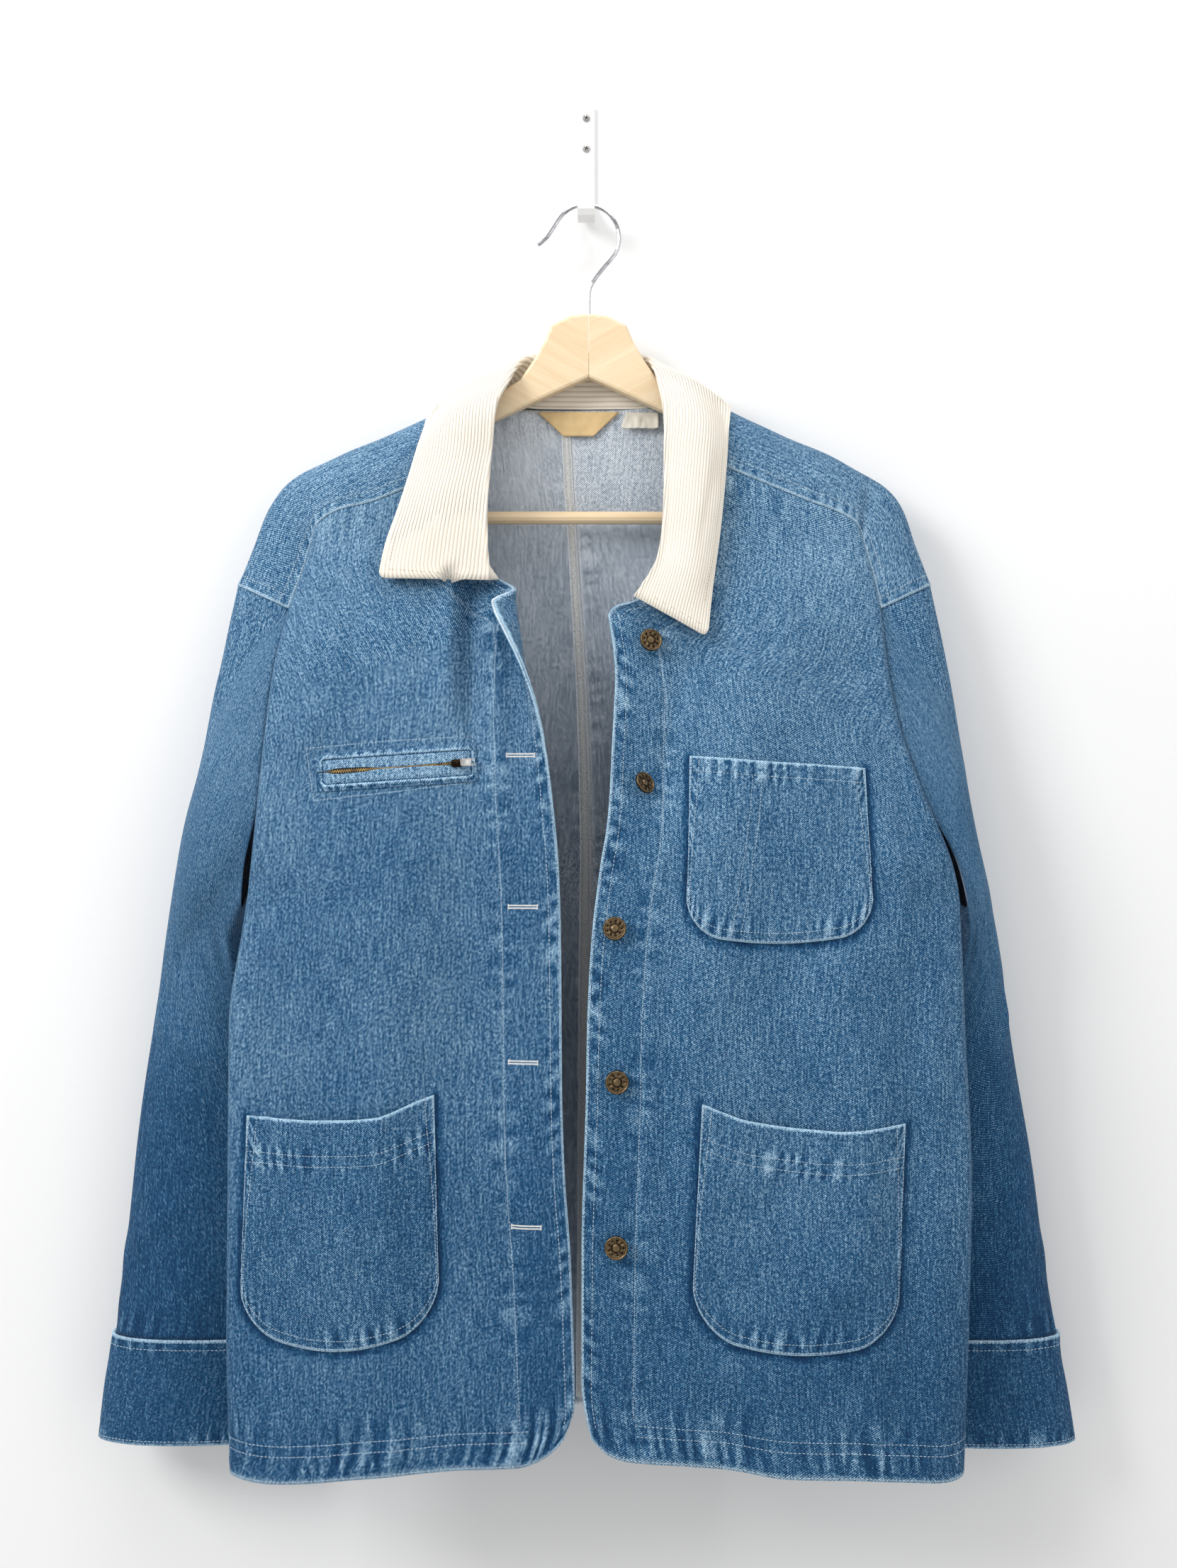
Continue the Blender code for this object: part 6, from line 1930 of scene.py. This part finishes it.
COLOURS = {
    "indigo_dark": ("Indigo, dark", "The denim's deepest yarns", (0.003, 0.027, 0.08)),
    "indigo_middle": ("Indigo", "The denim's main blue", (0.018, 0.1, 0.215)),
    "indigo_pale": ("Indigo, worn", "The denim where it is worn pale", (0.4, 0.58, 0.72)),
    "inside_dark": ("Inside, dark", "The darkest yarns of the denim's inner side", (0.07, 0.1, 0.15)),
    "inside_middle": ("Inside", "The main colour of the denim's inner side", (0.34, 0.41, 0.5)),
    "inside_pale": ("Inside, pale", "The pale weft of the denim's inner side", (0.86, 0.89, 0.92)),
    "cord_crown": ("Cord, crowns", "The tops of the corduroy's ribs", (0.86, 0.81, 0.72)),
    # Painted shade: the groove colour stands for the shadow between the corduroy's ribs.
    "cord_groove": ("Cord, grooves", "The corduroy between its ribs", (0.58, 0.48, 0.36)),
    "thread_blue": ("Topstitching", "The thread of the topstitching", (0.5, 0.62, 0.72)),
    "thread_white": ("Buttonholes", "The thread of buttonholes and overlocking", (0.82, 0.83, 0.82)),
    "thread_cream": ("Collar thread", "The thread of the collar's topstitching", (0.62, 0.5, 0.36)),
    "neck_label": ("Neck label", "The bare woven label at the neck", (0.78, 0.56, 0.28)),
    "care_label": ("Care label", "The bare care label", (0.82, 0.78, 0.68)),
    "zip_cloth": ("Zip tape", "The zip's woven tape", (0.035, 0.035, 0.04)),
    "wood_pale": ("Wood", "The hanger's pale wood", (0.86, 0.71, 0.49)),
    "wood_grain": ("Wood grain", "The darker grain of the hanger's wood", (0.74, 0.54, 0.32)),
}
JacketColours.__annotations__ = {name: colour_property(*values) for name, values in COLOURS.items()}


BUTTON_WIDTH = 0.017


class JacketSizes(bpy.types.PropertyGroup):
    """Sizes of the stage and of the buttons."""

    button_width: bpy.props.FloatProperty(
        name="Button width", description="Across a button's cap", default=BUTTON_WIDTH, unit="LENGTH",
        min=0.01, max=0.025,
    )
    backdrop_width: bpy.props.FloatProperty(
        name="Backdrop width", description="Width and height of the wall behind", default=9.0,
        unit="LENGTH", min=1.0,
    )
    camera_distance: bpy.props.FloatProperty(
        name="Camera distance", description="From the wall to the camera", default=1.38,
        unit="LENGTH", min=0.5,
    )


class JACKET_OT_fronts(bpy.types.Operator):
    """Make both fronts and the facings behind their edges"""

    bl_idname = "jacket.fronts"
    bl_label = "Fronts"

    def execute(self, context):
        for side in SIDES:
            cloth_piece(f"front_{side}", front(side), (denim(), denim(True)))
            cloth_piece(f"facing_{side}", facing(side), (denim(), denim()))
        return {"FINISHED"}


class JACKET_OT_backs(bpy.types.Operator):
    """Make the two halves of the back and the overlocked allowance of their seam"""

    bl_idname = "jacket.backs"
    bl_label = "Back"

    def execute(self, context):
        for side in SIDES:
            cloth_piece(f"back_{side}", back(side), (denim(), denim(True)))
        strip = grid_object("seam_allowance", seam_allowance(), (denim(True), denim(True)), "jacket")
        return {"FINISHED"}


class JACKET_OT_yokes(bpy.types.Operator):
    """Make the saddle yokes over the shoulders"""

    bl_idname = "jacket.yokes"
    bl_label = "Yokes"

    def execute(self, context):
        for side in SIDES:
            cloth_piece(f"yoke_{side}", yoke(side), (denim(), denim(True)))
        return {"FINISHED"}


class JACKET_OT_sleeves(bpy.types.Operator):
    """Make the sleeves and their cuffs"""

    bl_idname = "jacket.sleeves"
    bl_label = "Sleeves and cuffs"

    def execute(self, context):
        for side in SIDES:
            cloth_piece(f"sleeve_{side}", sleeve(side), (denim(), denim(True)))
            cloth_piece(f"cuff_{side}", cuff(side), (denim(), denim(True)))
        return {"FINISHED"}


class JACKET_OT_collar(bpy.types.Operator):
    """Make the corduroy collar, its ribs and its topstitching"""

    bl_idname = "jacket.collar"
    bl_label = "Collar"

    def execute(self, context):
        cloth_piece("collar", collar(), (corduroy(), corduroy()))
        whole = bmesh.new()
        for measure, inset, first, last in (
            ("end", 6.5, 0.02, 0.98), ("low", 6.5, 0.36, 0.95), ("top", 6.5, 0.36, 0.95),
        ):
            sewn(whole, collar().trace(measure, inset, first, last), FINE_STITCH)
        made = from_bmesh("collar_stitching", whole, (thread_look("cream"),))
        return {"FINISHED"}


class JACKET_OT_pockets(bpy.types.Operator):
    """Make the three patch pockets"""

    bl_idname = "jacket.pockets"
    bl_label = "Patch pockets"

    def execute(self, context):
        for name, shape in POCKETS.items():
            cloth_piece(name, pocket(name), (denim(), denim(True)))
        return {"FINISHED"}


def box_between(bm, size, matrix):
    """A small bevelled block, its sides in millimetres."""
    made = bmesh.ops.create_cube(bm, size=1.0)["verts"]
    bmesh.ops.scale(bm, verts=made, vec=[side / 1000 for side in size])
    edges = list({edge for vert in made for edge in vert.link_edges})
    fresh = bmesh.ops.bevel(
        bm, geom=edges, offset=min(size) / 4000, offset_type="OFFSET", segments=1, profile=0.5,
        affect="EDGES", material=-1,
    )["verts"]
    bmesh.ops.transform(bm, matrix=matrix, verts=list({*fresh, *(v for v in made if v.is_valid)}))


TAB_SOLID = 7.6
TAB_RAIL = 2.45
TEETH_PITCH = 1.75
TOOTH = (1.15, 1.9, 1.1)


def zip_teeth():
    """Two rows of closed teeth along the slot."""
    bm = bmesh.new()
    start, end = np.array(zip_line(0.02, 0)), np.array(SLIDER_PLACE)
    count = int(np.linalg.norm(end - start) / TEETH_PITCH)
    for k in range(count):
        for way in (-1, 1):
            share = (k + (0.5 if way > 0 else 0)) / count
            spot = start + (end - start) * share
            turn = local_frame("right", spot[0], spot[1], 1.15, ZIP_TURN)
            tooth = bmesh.new()
            box_between(tooth, TOOTH, turn @ Matrix.Translation((0, way * 0.55 / 1000, 0)))
            merged(bm, tooth)
    return bm


def plate(bm, outline, low, high, bevel):
    """A flat plate of a given outline with rounded rims, in millimetres."""
    face = bm.faces.new([bm.verts.new((x / 1000, y / 1000, low / 1000)) for x, y in outline])
    grown = bmesh.ops.extrude_face_region(bm, geom=[face])["geom"]
    moved = [item for item in grown if isinstance(item, bmesh.types.BMVert)]
    bmesh.ops.translate(bm, verts=moved, vec=(0, 0, (high - low) / 1000))
    bmesh.ops.recalc_face_normals(bm, faces=bm.faces)
    bmesh.ops.bevel(
        bm, geom=list(bm.edges), offset=bevel / 1000, offset_type="OFFSET", segments=2, profile=0.5,
        affect="EDGES", material=-1,
    )


class JACKET_OT_zip(bpy.types.Operator):
    """Make the zip pocket: welts, tape, teeth, slider and pull tab"""

    bl_idname = "jacket.zip_pocket"
    bl_label = "Zip pocket"

    def execute(self, context):
        for node, way in (("zip_lip_upper", -1), ("zip_lip_lower", 1)):
            cloth_piece(node, zip_lip(way), (denim(), denim(True)))
        cloth_piece("zip_tape", zip_tape(), (plain_cloth("zip_cloth"),) * 2)
        teeth = from_bmesh("zip_teeth", zip_teeth(), (metal("teeth"),))
        slide_frame = local_frame("right", *SLIDER_PLACE, SLIDER_LIFT - 1.4, ZIP_TURN)
        bm = bmesh.new()
        outline = ((-4, -2.0), (-1.5, -3.0), (4, -2.6), (4, 2.6), (-1.5, 3.0), (-4, 2.0))
        plate(bm, outline, 0, SLIDER_HEIGHT + 1.2, 0.5)
        box_between(bm, (4.6, 1.2, 1.4), Matrix.Translation((0.0005, 0, (SLIDER_HEIGHT + 1.5) / 1000)))
        bmesh.ops.transform(bm, matrix=slide_frame, verts=bm.verts)
        body = from_bmesh("zip_slider_body", bm, (metal("antique"),))
        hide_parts("zip_slider")
        height = SLIDER_HEIGHT + SEAM_GAP + TAB_THICK / 2 + 0.15
        pivot = local_frame("right", *SLIDER_PLACE, SLIDER_LIFT, ZIP_TURN)
        pivot = pivot @ Matrix.Translation((TAB_PIVOT / 1000, 0, height / 1000))
        pivot = pivot @ Matrix.Rotation(TAB_DROOP, 4, "Y")
        bm = bmesh.new()
        outline = ((-0.6, -2.1), (1.4, -2.8), (TAB_SOLID, -2.8), (TAB_SOLID, 2.8), (1.4, 2.8), (-0.6, 2.1))
        plate(bm, outline, -0.45, 0.45, 0.2)
        for rail in (-1, 1):
            middle = Matrix.Translation(((TAB_SOLID + TAB_LENGTH) / 2000, rail * TAB_RAIL / 1000, 0))
            box_between(bm, (TAB_LENGTH - TAB_SOLID + 0.6, 0.7, 0.85), middle)
        box_between(bm, (0.8, 5.6, 0.85), Matrix.Translation(((TAB_LENGTH - 0.4) / 1000, 0, 0)))
        bmesh.ops.transform(bm, matrix=pivot, verts=bm.verts)
        tab = from_bmesh("zip_pull", bm, (metal("steel"),), "pull_tab")
        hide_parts("zip_pull_tab")
        return {"FINISHED"}


BUTTON_PROFILE = (
    (0, 6.9), (1.2, 7.0), (2.1, 6.9), (2.6, 6.45), (3.0, 6.15), (3.5, 6.1), (4.1, 6.2), (4.7, 6.2),
    (5.3, 6.2), (5.9, 6.2), (6.5, 6.25), (6.9, 6.4), (7.3, 6.85), (7.8, 6.95), (8.2, 6.6), (8.5, 6.0),
    (8.5, 5.3), (8.1, 4.7), (7.4, 4.4), (3.2, 4.4), (2.8, 0.2), (0, 0.2),
)
BUTTON_STEPS = 72
BUTTON_PITS = 9
PIT_RING = 5.2
PIT_HALF = 0.85
PIT_DEPTH = 1.1
PIT_BAND = (3.8, 6.8)


def button_mesh(turn, size):
    """A turned cap with a rim, a centre boss and a ring of pits, on its shank."""
    bm = bmesh.new()
    verts = [bm.verts.new((r / 1000, 0, z / 1000)) for r, z in BUTTON_PROFILE]
    edges = [bm.edges.new(pair) for pair in zip(verts, verts[1:])]
    bmesh.ops.spin(
        bm, geom=verts + edges, cent=(0, 0, 0), axis=(0, 0, 1), dvec=(0, 0, 0),
        angle=2 * math.pi, steps=BUTTON_STEPS, use_merge=True,
    )
    bmesh.ops.remove_doubles(bm, verts=bm.verts, dist=1e-6)
    high = bm.verts.layers.float.new("wear")
    for vert in bm.verts:
        radius, angle = math.hypot(vert.co.x, vert.co.y) * 1000, math.atan2(vert.co.y, vert.co.x)
        vert[high] = min(1.0, max(0.0, (vert.co.z * 1000 - 6.0) / 0.9))
        if PIT_BAND[0] < radius < PIT_BAND[1] and vert.co.z > 0.006:
            step = 2 * math.pi / BUTTON_PITS
            off = (angle + step / 2) % step - step / 2
            near = math.exp(-((off * PIT_RING / PIT_HALF) ** 2) - ((radius - PIT_RING) / PIT_HALF) ** 2)
            vert.co.z += (0.35 - PIT_DEPTH * near) / 1000
            vert[high] = 0.75 - near
    bmesh.ops.recalc_face_normals(bm, faces=bm.faces)
    bmesh.ops.transform(bm, matrix=turn @ Matrix.Scale(size / BUTTON_WIDTH, 4), verts=bm.verts)
    return bm


class JACKET_OT_buttons(bpy.types.Operator):
    """Make the five antique brass buttons"""

    bl_idname = "jacket.buttons"
    bl_label = "Buttons"

    def execute(self, context):
        size = context.scene.jacket_sizes.button_width
        for number, spot in enumerate(BUTTONS, 1):
            tilt, spin = math.radians(spot.tilt), math.radians(spot.spin)
            turn = local_frame("left", spot.out, spot.drop, 0.2 + 3.2 * math.sin(tilt), spin, tilt)
            made = button_mesh(turn, size)
            cap = from_bmesh(f"button_cap_{number}", made, (metal("antique"),), crease=60)
            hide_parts(f"button_{number}")
        return {"FINISHED"}


class JACKET_OT_sewing(bpy.types.Operator):
    """Sew the topstitching, buttonholes, bartacks and overlocking"""

    bl_idname = "jacket.sewing"
    bl_label = "Sewing"

    def execute(self, context):
        groups = {
            "stitching_fronts": (sew_fronts, "blue", "front_right"),
            "stitching_backs": (sew_backs, "blue", "back_right"),
            "stitching_yokes": (sew_yokes, "blue", "yoke_right"),
            "stitching_cuffs": (sew_cuffs, "blue", "cuff_right"),
            "stitching_pockets": (sew_pockets, "blue", "pocket_chest"),
            "buttonholes": (sew_buttonholes, "white", "front_right"),
            "overlocking": (serge, "white", "back_right"),
        }
        for name, (sew, kind, slot) in groups.items():
            whole = bmesh.new()
            sew(whole)
            from_bmesh(name, whole, (thread_look(kind),))
        return {"FINISHED"}


class JACKET_OT_labels(bpy.types.Operator):
    """Make the bare neck label and care label"""

    bl_idname = "jacket.labels"
    bl_label = "Labels"

    def execute(self, context):
        for (name, label), (curl_up, seed) in zip(LABELS.items(), ((1.2, 141), (3.0, 147))):
            panel, looks = label_panel(label, curl_up, seed), (plain_cloth(name),) * 2
            cloth_piece(name, panel, looks)
        return {"FINISHED"}


class JACKET_OT_hanger(bpy.types.Operator):
    """Finish the wooden hanger, its wire, the wall hook and its screws"""

    bl_idname = "jacket.hanger"
    bl_label = "Hanger and hook"

    def execute(self, context):
        finishes = {
            "hanger_half_right": wood("right"), "hanger_half_left": wood("left"), "hanger_bar": wood("bar"),
            "hanger_hook": metal("chrome"), "wall_hook": plastic(), "wall_screw_upper": metal("steel"),
            "wall_screw_lower": metal("steel"),
        }
        for node, look in finishes.items():
            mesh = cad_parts[node].data
            mesh.materials.clear()
            mesh.materials.append(look)
        bm = bmesh.new()
        for node in ("wall_screw_upper", "wall_screw_lower"):
            low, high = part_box(node)
            middle = (low + high) / 2
            for turn in (math.radians(20), math.radians(110)):
                slot = Matrix.Translation((middle.x, low.y - 0.00002, middle.z))
                box_between(bm, (3.0, 0.4, 0.6), slot @ Matrix.Rotation(turn, 4, "Y"))
        from_bmesh("screw_slots", bm, (metal("antique"),))
        return {"FINISHED"}


LIGHTS = (
    ("key", (-2.1, -1.75, 0.95), (1.2, 1.2), 56.0), ("fill", (2.1, -2.0, 0.2), (1.6, 2.0), 10.0),
    ("top", (0.1, -0.9, 1.5), (1.8, 1.0), 16.0), ("rear", (-1.3, 2.1, 0.9), (1.6, 1.6), 34.0),
)
AIM = Vector((0.0, -0.05, -0.3))
ROOM_LIGHT = 0.68
WALL_PLACE = (0, 0.0008, -0.5)
EYE_OUT = 0.00084
EYE_HEIGHT = -0.4934
LENS = 40.3
SENSOR = 36.0


class JACKET_OT_stage(bpy.types.Operator):
    """Make the pale wall, the soft studio light and the camera"""

    bl_idname = "jacket.stage"
    bl_label = "Stage"

    def execute(self, context):
        scene = context.scene
        sizes = scene.jacket_sizes
        bm = bmesh.new()
        bmesh.ops.create_grid(bm, x_segments=1, y_segments=1, size=sizes.backdrop_width / 2)
        bmesh.ops.rotate(bm, verts=bm.verts, cent=(0, 0, 0), matrix=Matrix.Rotation(math.pi / 2, 3, "X"))
        bmesh.ops.translate(bm, verts=bm.verts, vec=WALL_PLACE)
        mesh = bpy.data.meshes.new("backdrop")
        bm.to_mesh(mesh)
        bm.free()
        mesh.materials.append(plaster())
        wall = bpy.data.objects.new("backdrop", mesh)
        wall.visible_diffuse = False
        wall.visible_shadow = False
        scene.collection.objects.link(wall)
        for name, place, size, power in LIGHTS:
            lamp = bpy.data.lights.new(name, "AREA")
            lamp.shape = "RECTANGLE"
            lamp.size, lamp.size_y = size
            lamp.energy = power
            thing = bpy.data.objects.new(name, lamp)
            thing.location = place
            thing.rotation_euler = (AIM - Vector(place)).to_track_quat("-Z", "Y").to_euler()
            scene.collection.objects.link(thing)
        world = bpy.data.worlds.new("studio")
        scene.world = world
        world.use_nodes = True
        world.node_tree.nodes["Background"].inputs["Color"].default_value = (1.0, 1.0, 1.0, 1.0)
        world.node_tree.nodes["Background"].inputs["Strength"].default_value = ROOM_LIGHT
        lens = bpy.data.cameras.new("camera")
        lens.sensor_fit = "VERTICAL"
        lens.sensor_height = lens.sensor_width = SENSOR
        lens.lens = LENS
        camera = bpy.data.objects.new("camera", lens)
        camera.location = (EYE_OUT, -sizes.camera_distance, EYE_HEIGHT)
        camera.rotation_euler = (math.pi / 2, 0, 0)
        scene.collection.objects.link(camera)
        scene.camera = camera
        scene.view_settings.view_transform = "Standard"
        return {"FINISHED"}


def plaster():
    """A white wall, one-sided so that the part can be seen from behind, with a faint roller texture."""
    look = Look("wall")
    grain = look.noise(look.place("Object"), 220, 3.0)
    normal = look.bump(grain, 0.12, 0.001)
    look.finish((0.86, 0.86, 0.86), 0.9, normal)
    behind = look.node("ShaderNodeNewGeometry", output=6)
    clear = look.node("ShaderNodeBsdfTransparent")
    solid = Value(look, look.shader.outputs[0])
    shader = look.node("ShaderNodeMixShader", inputs={0: behind, 1: solid, 2: clear})
    look.tree.links.new(shader.socket, look.tree.nodes["Material Output"].inputs["Surface"])
    return look.material


OPERATORS = (
    JACKET_OT_fronts, JACKET_OT_backs, JACKET_OT_yokes, JACKET_OT_sleeves, JACKET_OT_collar,
    JACKET_OT_pockets, JACKET_OT_zip, JACKET_OT_buttons, JACKET_OT_sewing, JACKET_OT_labels,
    JACKET_OT_hanger, JACKET_OT_stage,
)


class JACKET_PT_panel(bpy.types.Panel):
    """Lists the jacket's operators, sizes and colours."""

    bl_label = "Denim Jacket"
    bl_idname = "JACKET_PT_panel"
    bl_space_type = "VIEW_3D"
    bl_region_type = "UI"
    bl_category = "Jacket"

    def draw(self, context):
        for operator in OPERATORS:
            self.layout.operator(operator.bl_idname)
        for name in JacketSizes.__annotations__:
            self.layout.prop(context.scene.jacket_sizes, name)
        for name in COLOURS:
            self.layout.prop(context.scene.jacket_colours, name)


CLASSES = (JacketColours, JacketSizes, *OPERATORS, JACKET_PT_panel)


def register():
    for made in CLASSES:
        bpy.utils.register_class(made)
    bpy.types.Scene.jacket_colours = bpy.props.PointerProperty(type=JacketColours)
    bpy.types.Scene.jacket_sizes = bpy.props.PointerProperty(type=JacketSizes)


def unregister():
    del bpy.types.Scene.jacket_colours
    del bpy.types.Scene.jacket_sizes
    for made in reversed(CLASSES):
        bpy.utils.unregister_class(made)


def main():
    register()
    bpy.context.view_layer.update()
    for operator in OPERATORS:
        group, name = operator.bl_idname.split(".")
        getattr(getattr(bpy.ops, group), name)()


if __name__ == "__main__":
    main()
